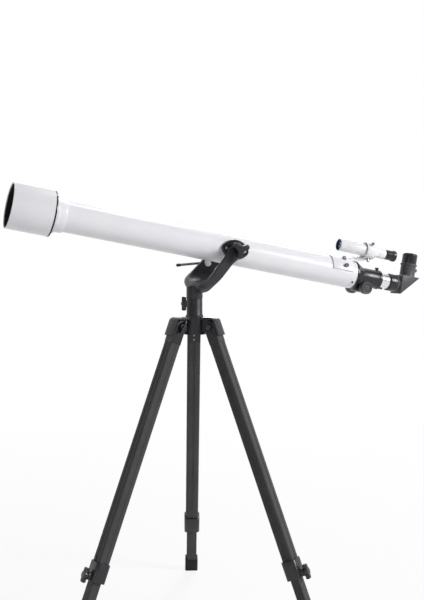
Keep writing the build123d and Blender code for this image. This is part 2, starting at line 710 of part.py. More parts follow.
def finder_tube():
    """White finder body, wider in front."""
    return on_finder_axis(
        turned(
            (FINDER_FRONT, FINDER_R - FINDER_WALL),
            (FINDER_FRONT, FINDER_R),
            (FINDER_NECK, FINDER_R),
            (FINDER_NECK + 3, FINDER_REAR_R),
            (FINDER_BACK, FINDER_REAR_R),
            (FINDER_BACK, FINDER_REAR_R - FINDER_WALL),
            (FINDER_NECK, FINDER_REAR_R - FINDER_WALL),
            (FINDER_NECK - 3, FINDER_R - FINDER_WALL),
        )
    )


def finder_lens():
    """Front lens of the finder."""
    start = FINDER_FRONT + FINDER_LENS_SET
    return on_finder_axis(along("X", FINDER_R - FINDER_WALL, start, start + FINDER_LENS_THICK))


def finder_eyepiece():
    """Black turning eyepiece of the finder."""
    start = FINDER_BACK + BODY_GAP
    stop = start + FINDER_EYE_LENGTH
    spigot = FINDER_REAR_R - FINDER_WALL - RUN_FIT
    eye = turned(
        (FINDER_BACK - FINDER_EYE_SPIGOT, 0),
        (FINDER_BACK - FINDER_EYE_SPIGOT, spigot),
        (start, spigot),
        (start, FINDER_EYE_R),
        (start + FINDER_EYE_LENGTH * 0.55, FINDER_EYE_R),
        (stop - 7, FINDER_EYE_FLARE),
        (stop - 1, FINDER_EYE_FLARE),
        (stop, FINDER_EYE_FLARE - 1),
        (stop, FINDER_EYE_R / 2),
        (stop - 3, FINDER_EYE_R / 2 - 1),
        (stop - 3, 0),
    )
    return on_finder_axis(eye)


def finder_screw_angles():
    """Angles of the three aiming screws round the finder, from straight up towards the near side."""
    return [45.0 + 360.0 / FINDER_SCREW_COUNT * i for i in range(FINDER_SCREW_COUNT)]


def at_finder_screw(angle, shape):
    """Places a piece built along Z at one aiming screw of the finder ring."""
    return on_finder_axis(Pos(RING_START + RING_LENGTH / 2, 0, 0) * Rot(angle, 0, 0) * shape)


def finder_screw(angle):
    """Aiming screw between the finder ring and the finder."""
    seat = RING_R + FINDER_SCREW_SHOWN
    shank = seat - FINDER_R - BODY_GAP
    screw = thumb_screw(FINDER_SCREW_R, shank, FINDER_SCREW_HEAD_R, FINDER_SCREW_HEAD_H)
    return at_finder_screw(angle, Pos(0, 0, seat) * screw)


def finder_bracket():
    """White saddle on the tube, slanting stem and ring round the finder."""
    middle = (PAD_START + PAD_END) / 2
    half = Box(2 * (PAD_END - PAD_START), 8 * TUBE_R, 4 * TUBE_R, align=LOW)
    pad = ring("X", TUBE_R + PAD_THICK, TUBE_R, PAD_START, PAD_END)
    pad &= Pos(middle, 0, 0) * Rot(-PAD_LOW_ANGLE, 0, 0) * half
    pad &= Pos(middle, 0, 0) * Rot(180 - PAD_HIGH_ANGLE, 0, 0) * half
    under_ring = hypot(FINDER_SIDE, FINDER_RISE) - RING_R + RING_WALL / 2
    foot = TUBE_R + PAD_THICK / 2
    outline = Polyline(
        (PAD_END - STEM_FOOT, foot),
        (PAD_END, foot),
        (RING_START + RING_LENGTH, under_ring),
        (RING_START, under_ring),
        close=True,
    )
    stem = Rot(90 - FINDER_ANGLE, 0, 0) * in_side_plane(make_face(outline), STEM_WIDTH / 2)
    bracket = pad + stem + on_finder_axis(along("X", RING_R, RING_START, RING_START + RING_LENGTH))
    bracket -= along("X", TUBE_R, PAD_START, PAD_END)
    bracket -= on_finder_axis(along("X", RING_R - RING_WALL, RING_START, RING_START + RING_LENGTH))
    for angle in finder_screw_angles():
        bracket -= at_finder_screw(angle, along("Z", FINDER_SCREW_R + RUN_FIT, 0, 2 * RING_R))
    return bracket.solid()


def bracket_nuts():
    """Two knurled nuts that hold the finder bracket."""
    nuts = []
    for angle in NUT_ANGLES:
        nut = chamfer(Cylinder(NUT_R, NUT_H, align=LOW).edges(), NUT_H / 8)
        nut = Rot(90 - angle, 0, 0) * Pos(PAD_END - NUT_BACK, 0, TUBE_R + PAD_THICK) * nut
        nuts.append((nut - along("X", TUBE_R + PAD_THICK, PAD_START, PAD_END)).solid())
    return Compound(nuts)


def arm_edges(body, reach):
    """Edges round the flat sides of both arms, apart from the level lines where the sides begin to flare."""
    found = []
    for edge in body.edges():
        low, high = edge.bounding_box().min, edge.bounding_box().max
        on_side = abs(abs(low.Y) - reach) < 0.01 and high.Y - low.Y < 0.01
        if on_side and high.Z - low.Z > 0.1:
            found.append(edge)
    return found


def yoke():
    """Cast yoke with two leaning arms, in a frame with the seam of the azimuth bearing at the origin."""
    base = Pos(YOKE_BASE_X, YOKE_BASE_Z) * Circle(YOKE_BASE_R)
    eye = Pos(PIVOT_REACH, PIVOT_RISE) * Circle(ARM_EYE_R)
    side = make_hull(base.edges() + eye.edges())
    top = PIVOT_RISE + 2 * ARM_EYE_R
    spring = YOKE_CROTCH + YOKE_CROTCH_RISE
    front = make_face(
        [
            Line((-YOKE_NECK_R, WASHER_THICK), (YOKE_NECK_R, WASHER_THICK)),
            Line((YOKE_NECK_R, WASHER_THICK), (YOKE_NECK_R, YOKE_NECK_H)),
            TangentArc((YOKE_NECK_R, YOKE_NECK_H), (ARM_OUT, YOKE_FLARE_TOP), tangent=(1, 0.35)),
            Line((ARM_OUT, YOKE_FLARE_TOP), (ARM_OUT, top)),
            Line((ARM_OUT, top), (ARM_IN, top)),
            Line((ARM_IN, top), (ARM_IN, spring)),
            ThreePointArc((ARM_IN, spring), (0, YOKE_CROTCH), (-ARM_IN, spring)),
            Line((-ARM_IN, spring), (-ARM_IN, top)),
            Line((-ARM_IN, top), (-ARM_OUT, top)),
            Line((-ARM_OUT, top), (-ARM_OUT, YOKE_FLARE_TOP)),
            TangentArc((-YOKE_NECK_R, YOKE_NECK_H), (-ARM_OUT, YOKE_FLARE_TOP), tangent=(-1, 0.35)),
            Line((-YOKE_NECK_R, YOKE_NECK_H), (-YOKE_NECK_R, WASHER_THICK)),
        ]
    )
    reach = PIVOT_REACH + 2 * ARM_EYE_R
    body = in_side_plane(side, ARM_OUT) & extrude(Plane.YZ * front, amount=reach, both=True)
    body = fillet(arm_edges(body, ARM_OUT), YOKE_OUTER_ROUND)
    body = fillet(arm_edges(body, ARM_IN), YOKE_INNER_ROUND)
    body += along("Z", YOKE_NECK_R, WASHER_THICK, YOKE_CROTCH - YOKE_NECK_H / 2)
    body -= Pos(PIVOT_REACH, 0, PIVOT_RISE) * along("Y", TRUNNION_R + RUN_FIT, -2 * ARM_OUT, 2 * ARM_OUT)
    clamp_way = along("Y", EYE_BOLT_R + RUN_FIT, 0, 2 * ARM_OUT)
    body -= Pos(PIVOT_REACH + CLAMP_BACK, 0, PIVOT_RISE + CLAMP_DROP) * clamp_way
    body -= along("Z", SPINDLE_R, 0, YOKE_CROTCH - YOKE_NECK_H)
    return body.solid()


def azimuth_spindle():
    """Steel spindle from the yoke down through the tripod head, with a flange under the head."""
    drop = SOCKET_H + HUB_DROP - SPINDLE_FLANGE_H - 2 * BODY_GAP
    spindle = along("Z", SPINDLE_R, -drop, YOKE_CROTCH - YOKE_NECK_H)
    return spindle + along("Z", SPINDLE_FLANGE_R - BODY_GAP, -drop - SPINDLE_FLANGE_H, -drop)


def azimuth_washer():
    """Bearing washer between yoke and head."""
    return ring("Z", YOKE_NECK_R - 0.8, SPINDLE_R, BODY_GAP, WASHER_THICK)


def hood():
    """Roof and outer skirt over one leg, with the hinge lug, in a frame with the hinge at the origin."""
    roof = HINGE_DROP
    inner = LEG_DEPTH / 2 + BODY_GAP
    outer = inner + HOOD_SKIRT
    splay = radians(LEG_SPLAY)

    def on_skirt(distance, down):
        return (distance * cos(splay) + down * sin(splay), distance * sin(splay) - down * cos(splay))

    def at_height(distance, height):
        down = (distance * sin(splay) - height) / cos(splay)
        return on_skirt(distance, down)

    outline = make_face(
        Polyline(
            (-HINGE_R, roof),
            at_height(outer, roof),
            on_skirt(outer, HOOD_REACH),
            on_skirt(inner, HOOD_REACH),
            at_height(inner, roof - HOOD_TOP),
            (-HINGE_R, roof - HOOD_TOP),
            close=True,
        )
    )
    plate = in_side_plane(outline, LEG_WIDTH / 2)
    corner = at_height(outer, roof)
    edges = plate.edges().filter_by(Axis.Y).sort_by_distance((corner[0], 0, corner[1]))
    plate = fillet(edges[0], HOOD_ROUND)
    lug = along("Y", LUG_R, -LUG_WIDTH / 2, LUG_WIDTH / 2)
    lug += block(-HINGE_R, 0, -LUG_WIDTH / 2, LUG_WIDTH / 2, -LUG_R, roof)
    lug += block(0, LUG_R, -LUG_WIDTH / 2, LUG_WIDTH / 2, 0, roof - HOOD_TOP)
    return plate + lug - along("Y", BOLT_R, -LEG_WIDTH, LEG_WIDTH)


def at_hinge(angle, shape):
    """Places a piece from the hinge frame of one leg into the tripod, not splayed."""
    return Rot(0, 0, angle) * Pos(HINGE_R, 0, HINGE_Z) * shape


def at_lock(shape):
    """Places a piece built along Z at the azimuth lock, pointing outwards."""
    return Pos(0, 0, LOCK_Z) * Rot(0, 0, LOCK_ANGLE) * Rot(0, 90, 0) * shape


def tripod_head():
    """Cast tripod head with its socket, three hooded lugs and lock boss."""
    low = HEAD_TOP_Z - HUB_DROP
    head = along("Z", HUB_R, low, HEAD_TOP_Z) + along("Z", SOCKET_R, low, SEAM_Z)
    head = head + Pos(0, 0, HEAD_TOP_Z) * Cone(SOCKET_R + 3, SOCKET_R, 6, align=LOW)
    for angle in LEG_ANGLES:
        head += at_hinge(angle, hood())
    head += at_lock(along("Z", LOCK_BOSS_R, 0, SOCKET_R + LOCK_BOSS_PROUD))
    head -= along("Z", SPINDLE_R + RUN_FIT, low, SEAM_Z)
    head -= along("Z", SPINDLE_FLANGE_R, low, low + SPINDLE_FLANGE_H + 3 * BODY_GAP)
    head -= at_lock(along("Z", LOCK_STUD_R + RUN_FIT, 0, 2 * SOCKET_R))
    return head.solid()


def wing_blade(reach, thick, height):
    """One pair of wings in the plane of X and Z, rising from the origin."""
    blade = Pos(0, 0, height / 2) * Box(2 * reach, thick, height)
    return fillet(blade.edges().filter_by(Axis.Y), height / 3)


def azimuth_knob():
    """Winged screw that locks the azimuth turn."""
    seat = SOCKET_R + LOCK_BOSS_PROUD + BODY_GAP
    stud = seat - SPINDLE_R - BODY_GAP
    knob = Cylinder(WING_NUT_R, LOBE_THICK, align=LOW) + wing_blade(WING_REACH, WING_NUT_R, LOBE_THICK)
    knob += Pos(0, 0, -stud) * Cylinder(LOCK_STUD_R, stud, align=LOW)
    return at_lock(Pos(0, 0, seat) * knob)


def hinge_bolts():
    """Hinge bolt and wing nut of each leg."""
    half = LEG_WIDTH / 2 + BODY_GAP
    bolt = along("Y", BOLT_R, -half, half) + along("Y", BOLT_HEAD_R, -half - BOLT_HEAD_H, -half)
    nut = Cylinder(WING_NUT_R, WING_NUT_H, align=LOW)
    nut += Pos(0, 0, WING_NUT_H / 3) * Rot(0, 0, WING_TURN) * wing_blade(WING_REACH, WING_THICK, WING_HEIGHT)
    bolt += Pos(0, half, 0) * Rot(-90, 0, 0) * nut
    return Compound([at_hinge(angle, bolt).solid() for angle in LEG_ANGLES])


def leg_bar(width, depth, corner, start, stop):
    """Rounded rectangular bar down the leg between two stations."""
    return Pos(0, 0, -stop) * extrude(RectangleRounded(depth, width, corner), stop - start)


def leg_hollow(start, stop):
    """Bar that fills the inside of an upper leg between two stations."""
    width, depth = LEG_WIDTH - 2 * LEG_WALL, LEG_DEPTH - 2 * LEG_WALL
    return leg_bar(width, depth, LEG_CORNER - LEG_WALL, start, stop)


def leg_bracket():
    """Fork at the top of a leg, in the leg frame with the hinge at the origin and the leg along -Z."""
    depth, width = LEG_DEPTH - 2 * BODY_GAP, LEG_WIDTH
    body = leg_bar(width, depth, LEG_CORNER / 4, 0, BRACKET_LENGTH)
    body += along("Y", EAR_R, -width / 2, width / 2)
    slot = LUG_WIDTH / 2 + BODY_GAP
    body -= block(-LEG_DEPTH, LEG_DEPTH, -slot, slot, -FORK_FLOOR, 2 * EAR_R)
    body -= along("Y", BOLT_R + RUN_FIT, -width, width)
    plug_end = BRACKET_LENGTH + BRACKET_PLUG
    plug = leg_hollow(BRACKET_LENGTH, plug_end)
    return (body + plug - leg_grooves(BRACKET_LENGTH, plug_end, LEG_WALL)).solid()


def leg_grooves(start, stop, depth_in):
    """Long shallow grooves in the four faces of a leg, as a cutting tool."""
    x, y = LEG_DEPTH / 2, LEG_WIDTH / 2
    deep = LEG_GROOVE_DEPTH + depth_in
    half = LEG_GROOVE_WIDTH / 2 + depth_in
    tool = block(x - deep, 2 * x, -half, half, -stop, -start)
    tool += block(-2 * x, deep - x, -half, half, -stop, -start)
    tool += block(-half, half, y - deep, 2 * y, -stop, -start)
    return tool + block(-half, half, -2 * y, deep - y, -stop, -start)


def upper_leg():
    """Extruded aluminium upper leg with a groove in each face."""
    outer = leg_bar(LEG_WIDTH, LEG_DEPTH, LEG_CORNER, BRACKET_LENGTH, UPPER_LEG_END)
    outer -= leg_grooves(BRACKET_LENGTH, UPPER_LEG_END, 0)
    inner = leg_hollow(BRACKET_LENGTH, UPPER_LEG_END) - leg_grooves(BRACKET_LENGTH, UPPER_LEG_END, LEG_WALL)
    return (outer - inner).solid()


def lower_leg():
    """Sliding lower leg."""
    end = LEG_REACH - FOOT_SOLE
    corner = LEG_CORNER / 2
    outer = leg_bar(LOWER_WIDTH, LOWER_DEPTH, corner, LOWER_LEG_TOP, end)
    hole_width, hole_depth = LOWER_WIDTH - 2 * LOWER_LEG_WALL, LOWER_DEPTH - 2 * LOWER_LEG_WALL
    return outer - leg_bar(hole_width, hole_depth, corner / 2, LOWER_LEG_TOP, end)


def leg_clamp():
    """Collar at the lower end of the upper leg, with the boss of its lock screw."""
    start, stop = UPPER_LEG_END - CLAMP_OVERLAP, UPPER_LEG_END + CLAMP_SKIRT
    width, depth = LEG_WIDTH + 2 * CLAMP_WALL, LEG_DEPTH + 2 * CLAMP_WALL
    body = leg_bar(width, depth, LEG_CORNER + CLAMP_WALL, start, stop)
    boss = along("X", CLAMP_BOSS_LEG_R, 0, depth / 2 + CLAMP_BOSS)
    body += Pos(0, 0, -LEG_KNOB_Z) * boss
    body -= leg_bar(LEG_WIDTH, LEG_DEPTH, LEG_CORNER, start, UPPER_LEG_END)
    gap = 2 * BODY_GAP
    body -= leg_bar(LOWER_WIDTH + gap, LOWER_DEPTH + gap, LEG_CORNER / 2, start, stop)
    return (body - Pos(0, 0, -LEG_KNOB_Z) * along("X", LEG_STUD_R + RUN_FIT, 0, depth)).solid()


def leg_knob():
    """Winged lock screw of one leg."""
    seat = LEG_DEPTH / 2 + CLAMP_WALL + CLAMP_BOSS + BODY_GAP
    stud = seat - LOWER_DEPTH / 2 - BODY_GAP
    knob = Cylinder(LEG_KNOB_R, LEG_KNOB_H, align=LOW) + wing_blade(LEG_KNOB_WING, LEG_KNOB_R, LEG_KNOB_H)
    knob += Pos(0, 0, -stud) * Cylinder(LEG_STUD_R, stud, align=LOW)
    return Pos(seat, 0, -LEG_KNOB_Z) * Rot(0, 90, 0) * knob


def foot():
    """Rubber foot, cut level with the floor."""
    start, stop = LEG_REACH - FOOT_LENGTH, LEG_REACH + LEG_DEPTH
    body = leg_bar(LOWER_WIDTH + 2 * FOOT_WALL, LOWER_DEPTH + 2 * FOOT_WALL, LEG_CORNER, start, stop)
    body -= leg_bar(LOWER_WIDTH, LOWER_DEPTH, LEG_CORNER / 2, start, LEG_REACH - FOOT_SOLE)
    floor = Pos(0, 0, -LEG_WIDTH) * Box(8 * LEG_WIDTH, 4 * LEG_WIDTH, 2 * LEG_WIDTH)
    return (body - Pos(0, 0, -LEG_REACH) * Rot(0, LEG_SPLAY, 0) * floor).solid()


TUBE_PLACE = Pos(PIVOT_REACH, 0, PIVOT_Z) * Rot(0, TUBE_TILT, 0)
YOKE_PLACE = Pos(0, 0, SEAM_Z)
ROD_PLACE = Pos(PIVOT_REACH + ROD_PIVOT_X, ROD_Y, PIVOT_Z + ROD_PIVOT_Z) * Rot(0, -ROD_SLOPE, 0)
CLAMP_PLACE = Pos(PIVOT_REACH + CLAMP_BACK, ROD_Y, PIVOT_Z + CLAMP_DROP) * Rot(0, -ROD_SLOPE, 0)


def on_leg(angle):
    """Place of the leg frame of one leg."""
    return Rot(0, 0, angle) * Pos(HINGE_R, 0, HINGE_Z) * Rot(0, -LEG_SPLAY, 0)


def telescope():
    """Every piece by name, with the azimuth axis upright through the origin."""
    on_tube = {
        "main_tube": main_tube(),
        "objective_cell": objective_cell(),
        "objective_lens": objective_lens(),
        "lens_retainer": lens_retainer(),
        "dew_shield": dew_shield(),
        "shield_trim_ring": shield_trim_ring(),
        "altitude_plates": altitude_plates(),
        "plate_screws": plate_screws(),
        "altitude_knob_near": altitude_knob(-1),
        "altitude_knob_far": altitude_knob(1),
        "rod_bracket": rod_bracket(),
        "focuser_housing": focuser_housing(),
        "focuser_screws": focuser_screws(),
        "focus_lock_screw": focus_lock_screw(),
        "drawtube": drawtube(),
        "focus_rack": focus_rack(),
        "drawtube_collar": drawtube_collar(),
        "pinion_shaft": pinion_shaft(),
        "focus_knobs": focus_knobs(),
        "diagonal_housing": diagonal_housing(),
        "diagonal_mirror": diagonal_mirror(),
        "eyepiece_screw": eyepiece_screw(),
        "eyepiece_barrel": eyepiece_barrel(),
        "eyepiece_body": eyepiece_body(),
        "eyepiece_lens": eyepiece_lens(),
        "finder_tube": finder_tube(),
        "finder_lens": finder_lens(),
        "finder_eyepiece": finder_eyepiece(),
        "finder_bracket": finder_bracket(),
        "bracket_nuts": bracket_nuts(),
    }
    for i, angle in enumerate(finder_screw_angles(), 1):
        on_tube[f"finder_screw_{i}"] = finder_screw(angle)
    pieces = {name: TUBE_PLACE * shape for name, shape in on_tube.items()}
    pieces["altitude_rod"] = ROD_PLACE * altitude_rod()
    pieces["rod_eye_bolt"] = CLAMP_PLACE * rod_eye_bolt()
    pieces["rod_nut"] = CLAMP_PLACE * rod_nut()
    pieces["yoke"] = YOKE_PLACE * yoke()
    pieces["azimuth_spindle"] = YOKE_PLACE * azimuth_spindle()
    pieces["azimuth_washer"] = YOKE_PLACE * azimuth_washer()
    pieces["azimuth_knob"] = azimuth_knob()
    pieces["tripod_head"] = tripod_head()
    pieces["hinge_bolts"] = hinge_bolts()
    for i, angle in enumerate(LEG_ANGLES, 1):
        pieces[f"leg_bracket_{i}"] = on_leg(angle) * leg_bracket()
        pieces[f"upper_leg_{i}"] = on_leg(angle) * upper_leg()
        pieces[f"leg_clamp_{i}"] = on_leg(angle) * leg_clamp()
        pieces[f"lower_leg_{i}"] = on_leg(angle) * lower_leg()
        pieces[f"leg_knob_{i}"] = on_leg(angle) * leg_knob()
        pieces[f"foot_{i}"] = on_leg(angle) * foot()
    return pieces


PIECES = telescope()
REACH = Compound(list(PIECES.values())).bounding_box()
CENTRE_X, CENTRE_Y = REACH.center().X, REACH.center().Y

if __name__ == "__main__":
    for name, shape in PIECES.items():
        export_step(Pos(-CENTRE_X, -CENTRE_Y, 0) * shape, f"parts/{name}.step")
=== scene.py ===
"""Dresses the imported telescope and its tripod, and sets up the studio picture."""

import json
import logging
import math
from dataclasses import dataclass, replace
from enum import Enum
from functools import cache
from typing import Sequence

import bmesh
import bpy
from bmesh.types import BMesh, BMFace, BMVert
from mathutils import Matrix, Vector

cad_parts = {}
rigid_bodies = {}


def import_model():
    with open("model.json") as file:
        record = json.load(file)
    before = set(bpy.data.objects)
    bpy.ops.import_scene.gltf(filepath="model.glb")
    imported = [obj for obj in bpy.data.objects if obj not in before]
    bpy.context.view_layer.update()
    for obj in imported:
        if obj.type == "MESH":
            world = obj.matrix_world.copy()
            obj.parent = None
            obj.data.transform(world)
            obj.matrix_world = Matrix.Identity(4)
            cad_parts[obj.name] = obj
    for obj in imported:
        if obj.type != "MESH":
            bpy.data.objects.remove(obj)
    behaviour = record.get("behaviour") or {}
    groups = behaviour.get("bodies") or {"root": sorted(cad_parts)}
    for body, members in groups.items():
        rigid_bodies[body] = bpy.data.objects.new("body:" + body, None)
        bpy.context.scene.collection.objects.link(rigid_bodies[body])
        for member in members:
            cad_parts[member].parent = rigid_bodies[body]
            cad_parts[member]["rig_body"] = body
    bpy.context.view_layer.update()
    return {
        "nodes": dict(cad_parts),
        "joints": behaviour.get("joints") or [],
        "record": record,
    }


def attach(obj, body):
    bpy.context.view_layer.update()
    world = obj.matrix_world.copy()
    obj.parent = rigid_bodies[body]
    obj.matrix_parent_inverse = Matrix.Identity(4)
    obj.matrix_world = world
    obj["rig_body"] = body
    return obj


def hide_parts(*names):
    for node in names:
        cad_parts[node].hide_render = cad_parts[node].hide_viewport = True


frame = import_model()

logging.basicConfig(level=logging.INFO, format="%(levelname)s %(message)s")
logger = logging.getLogger("telescope")

Colour = tuple[float, float, float]
Point = tuple[float, float]
Span = tuple[float, float]
Socket = bpy.types.NodeSocket
Tree = bpy.types.NodeTree

MM = 0.001
PICTURE_SIZE = (424, 600)

# Metres: corners closer than a weld are one, and edges shorter than SHORTEST are dissolved.
WELD, SPUN_WELD, SHORTEST = 1e-6, 1e-7, 5e-7
# Metres: a cut takes corners this close to its plane as lying on it.
CASTING_CUT, LID_CUT = 1e-7, 1e-8
# Degrees: faces of a node that meet at less than FLAT are one.
FLAT, KNURL_CREASE = 0.5, 24.0
# Shares of a knurled head's radius and height.
KNURL_GROOVE, KNURL_RIM = 0.93, 0.12
# Faces round a piece.
ROUND, MIDDLE_ROUND, SMALL_ROUND = 128, 96, 24

# How a colour drifts, how the gloss wears and how fine the relief is.
CLOUD_SCALE, CLOUD_DETAIL, CLOUD_SPAN = 14.0, 4.0, (0.35, 0.72)
WEAR_SCALE, WEAR_DETAIL, WEAR_SPAN = 55.0, 6.0, (0.3, 0.7)
GRAIN_DETAIL = 2.0
PEBBLE_SMOOTHNESS = 0.6
BRUSH_STRETCH = 60.0


class Grain(Enum):
    """How the fine relief of a finish lies on the surface."""

    EVEN = "even"
    PEBBLED = "pebbled"
    BRUSHED = "brushed"


def set_inputs(node: bpy.types.Node, values: dict[str, float | tuple[float, ...]]) -> None:
    """Sets inputs of a node by their names."""
    for name, value in values.items():
        node.inputs[name].default_value = value


def noise(tree: Tree, place: Socket, scale: float, detail: float = GRAIN_DETAIL) -> Socket:
    """Adds one noise texture.

    Args:
        tree: Node tree that takes it.
        place: Coordinates that the texture reads.
        scale: Features per metre.
        detail: Number of finer layers.

    Returns:
        The factor of the texture.
    """
    made = tree.nodes.new("ShaderNodeTexNoise")
    set_inputs(made, {"Scale": scale, "Detail": detail})
    tree.links.new(place, made.inputs["Vector"])
    return made.outputs["Fac"]


def spread(tree: Tree, value: Socket, source: Span, target: Span) -> Socket:
    """Maps one span of a value onto another.

    Args:
        tree: Node tree that takes the mapping.
        value: The value.
        source: Ends of the value's span.
        target: What the ends become.

    Returns:
        The mapped value.
    """
    made = tree.nodes.new("ShaderNodeMapRange")
    set_inputs(made, {"From Min": source[0], "From Max": source[1]})
    set_inputs(made, {"To Min": target[0], "To Max": target[1]})
    tree.links.new(value, made.inputs["Value"])
    return made.outputs["Result"]


def maths(tree: Tree, operation: str, first: Socket, second: Socket) -> Socket:
    """Adds an operation on two values.

    Args:
        tree: Node tree that takes it.
        operation: Name of the operation.
        first: First value.
        second: Second value.

    Returns:
        The outcome.
    """
    made = tree.nodes.new("ShaderNodeMath")
    made.operation = operation
    tree.links.new(first, made.inputs[0])
    tree.links.new(second, made.inputs[1])
    return made.outputs["Value"]


@dataclass(frozen=True)
class Finish:
    """One opaque surface finish."""

    slot: str  # material slot of the record
    colour: Colour
    tint: Colour  # drifts into the main colour
    rough: Span
    metal: float = 0.0
    coat: float = 0.0
    coat_rough: float = 0.08
    shine: float = 0.5
    grain: Grain = Grain.EVEN
    grain_scale: float = 600.0  # features per metre
    relief: float = 2e-5  # metres
    lean: tuple[float, float] = (0.0, 0.0)  # turn and splay of a brushed grain, in degrees

    def material(self, name: str) -> bpy.types.Material:
        """Makes the node material.

        Args:
            name: Name of the new material.

        Returns:
            The material.
        """
        made = bpy.data.materials.new(name)
        made.use_nodes = True
        made.diffuse_color = (*self.colour, 1.0)
        tree = made.node_tree
        shader = tree.nodes["Principled BSDF"]
        set_inputs(shader, {"Metallic": self.metal, "Specular IOR Level": self.shine})
        set_inputs(shader, {"Coat Weight": self.coat, "Coat Roughness": self.coat_rough})
        place = tree.nodes.new("ShaderNodeTexCoord").outputs["Object"]
        mix = tree.nodes.new("ShaderNodeValToRGB")
        for number, colour in enumerate((self.colour, self.tint)):
            mix.color_ramp.elements[number].position = CLOUD_SPAN[number]
            mix.color_ramp.elements[number].color = (*colour, 1.0)
        cloud = noise(tree, place, CLOUD_SCALE, CLOUD_DETAIL)
        tree.links.new(cloud, mix.inputs["Fac"])
        tree.links.new(mix.outputs["Color"], shader.inputs["Base Color"])
        wear = noise(tree, place, WEAR_SCALE, WEAR_DETAIL)
        tree.links.new(spread(tree, wear, WEAR_SPAN, self.rough), shader.inputs["Roughness"])
        bump = tree.nodes.new("ShaderNodeBump")
        set_inputs(bump, {"Strength": 1.0, "Distance": self.relief})
        tree.links.new(self._grain(tree, place), bump.inputs["Height"])
        tree.links.new(bump.outputs["Normal"], shader.inputs["Normal"])
        return made

    def _grain(self, tree: Tree, place: Socket) -> Socket:
        """Adds the relief pattern.

        Args:
            tree: Node tree of the material.
            place: Object coordinates.

        Returns:
            The height of the relief.
        """
        if self.grain is Grain.PEBBLED:
            cells = tree.nodes.new("ShaderNodeTexVoronoi")
            cells.feature = "SMOOTH_F1"
            set_inputs(cells, {"Scale": self.grain_scale, "Smoothness": PEBBLE_SMOOTHNESS})
            tree.links.new(place, cells.inputs["Vector"])
            return cells.outputs["Distance"]
        if self.grain is Grain.BRUSHED:
            about, splay = (math.radians(angle) for angle in self.lean)
            turn = tree.nodes.new("ShaderNodeMapping")
            turn.vector_type = "TEXTURE"
            set_inputs(turn, {"Rotation": (0.0, -splay, about), "Scale": (1.0, 1.0, BRUSH_STRETCH)})
            tree.links.new(place, turn.inputs["Vector"])
            place = turn.outputs["Vector"]
        return noise(tree, place, self.grain_scale)


@dataclass(frozen=True)
class CoatedGlass:
    """Clear lens glass with a faint coloured coating and a little haze."""

    slot: str = "lens_glass"
    colour: Colour = (0.72, 0.84, 0.95)
    haze: Span = (0.015, 0.05)
    haze_scale: float = 90.0
    clear: float = 0.92
    index: float = 1.52
    coat: float = 0.6
    coat_tint: Colour = (0.62, 0.78, 1.0)

    def material(self, name: str) -> bpy.types.Material:
        """Makes the glass material.

        Args:
            name: Name of the new material.

        Returns:
            The material.
        """
        made = bpy.data.materials.new(name)
        made.use_nodes = True
        tree = made.node_tree
        shader = tree.nodes["Principled BSDF"]
        set_inputs(shader, {"Base Color": (*self.colour, 1.0), "IOR": self.index})
        set_inputs(shader, {"Transmission Weight": self.clear, "Coat Weight": self.coat})
        set_inputs(shader, {"Coat Tint": (*self.coat_tint, 1.0)})
        place = tree.nodes.new("ShaderNodeTexCoord").outputs["Object"]
        dust = noise(tree, place, self.haze_scale)
        tree.links.new(spread(tree, dust, (0.0, 1.0), self.haze), shader.inputs["Roughness"])
        return made


BLACK_ALUMINIUM = Finish(
    "black_aluminium", (0.062, 0.062, 0.063), (0.076, 0.076, 0.077), (0.34, 0.44),
    shine=0.08, grain=Grain.BRUSHED, grain_scale=1800.0, relief=1e-5,
)

# Finishes by name. Each leg adds a black aluminium whose grain follows it.
FINISHES: dict[str, Finish | CoatedGlass] = {
    "white_enamel": Finish(
        "white_enamel", (0.82, 0.82, 0.85), (0.79, 0.79, 0.83), (0.36, 0.44),
        shine=0.3, coat=0.25, grain_scale=420.0, relief=1e-5,
    ),
    "shield_lining": Finish(
        "black_plastic", (0.008, 0.008, 0.009), (0.014, 0.014, 0.015), (0.6, 0.72),
        shine=0.25, grain=Grain.PEBBLED, grain_scale=1500.0,
    ),
    "black_gloss": Finish(
        "black_gloss", (0.004, 0.004, 0.005), (0.008, 0.008, 0.009), (0.10, 0.16), relief=6e-6,
    ),
    "black_plastic": Finish(
        "black_plastic", (0.008, 0.008, 0.011), (0.014, 0.014, 0.018), (0.26, 0.34),
        grain=Grain.PEBBLED, grain_scale=1400.0,
    ),
    "grey_plastic": Finish(
        "black_plastic", (0.075, 0.075, 0.085), (0.092, 0.092, 0.104), (0.36, 0.46),
        shine=0.3, grain=Grain.PEBBLED, grain_scale=1400.0,
    ),
    "charcoal_casting": Finish(
        "charcoal_casting", (0.022, 0.022, 0.025), (0.032, 0.032, 0.036), (0.34, 0.46),
        shine=0.3, grain=Grain.PEBBLED, grain_scale=900.0, relief=5e-5,
    ),
    "chrome": Finish(
        "chrome", (0.24, 0.24, 0.255), (0.20, 0.20, 0.215), (0.10, 0.20), metal=1.0, relief=4e-6,
    ),
    "bright_chrome": Finish(
        "chrome", (0.80, 0.80, 0.83), (0.74, 0.74, 0.77), (0.16, 0.28), metal=1.0, relief=4e-6,
    ),
    "zinc": Finish(
        "chrome", (0.24, 0.24, 0.25), (0.30, 0.30, 0.31), (0.34, 0.44), metal=1.0, relief=6e-6,
    ),
    "dark_steel": Finish(
        "dark_steel", (0.05, 0.05, 0.053), (0.09, 0.09, 0.094), (0.28, 0.40),
        metal=1.0, grain_scale=900.0, relief=8e-6,
    ),
    "mirror": Finish(
        "mirror", (0.88, 0.88, 0.90), (0.86, 0.86, 0.88), (0.01, 0.03), metal=1.0, relief=5e-7,
    ),
    "foot_rubber": Finish(
        "foot_rubber", (0.014, 0.014, 0.014), (0.028, 0.027, 0.026), (0.72, 0.86),
        shine=0.25, grain=Grain.PEBBLED, grain_scale=700.0, relief=8e-5,
    ),
    "lens_glass": CoatedGlass(),
}


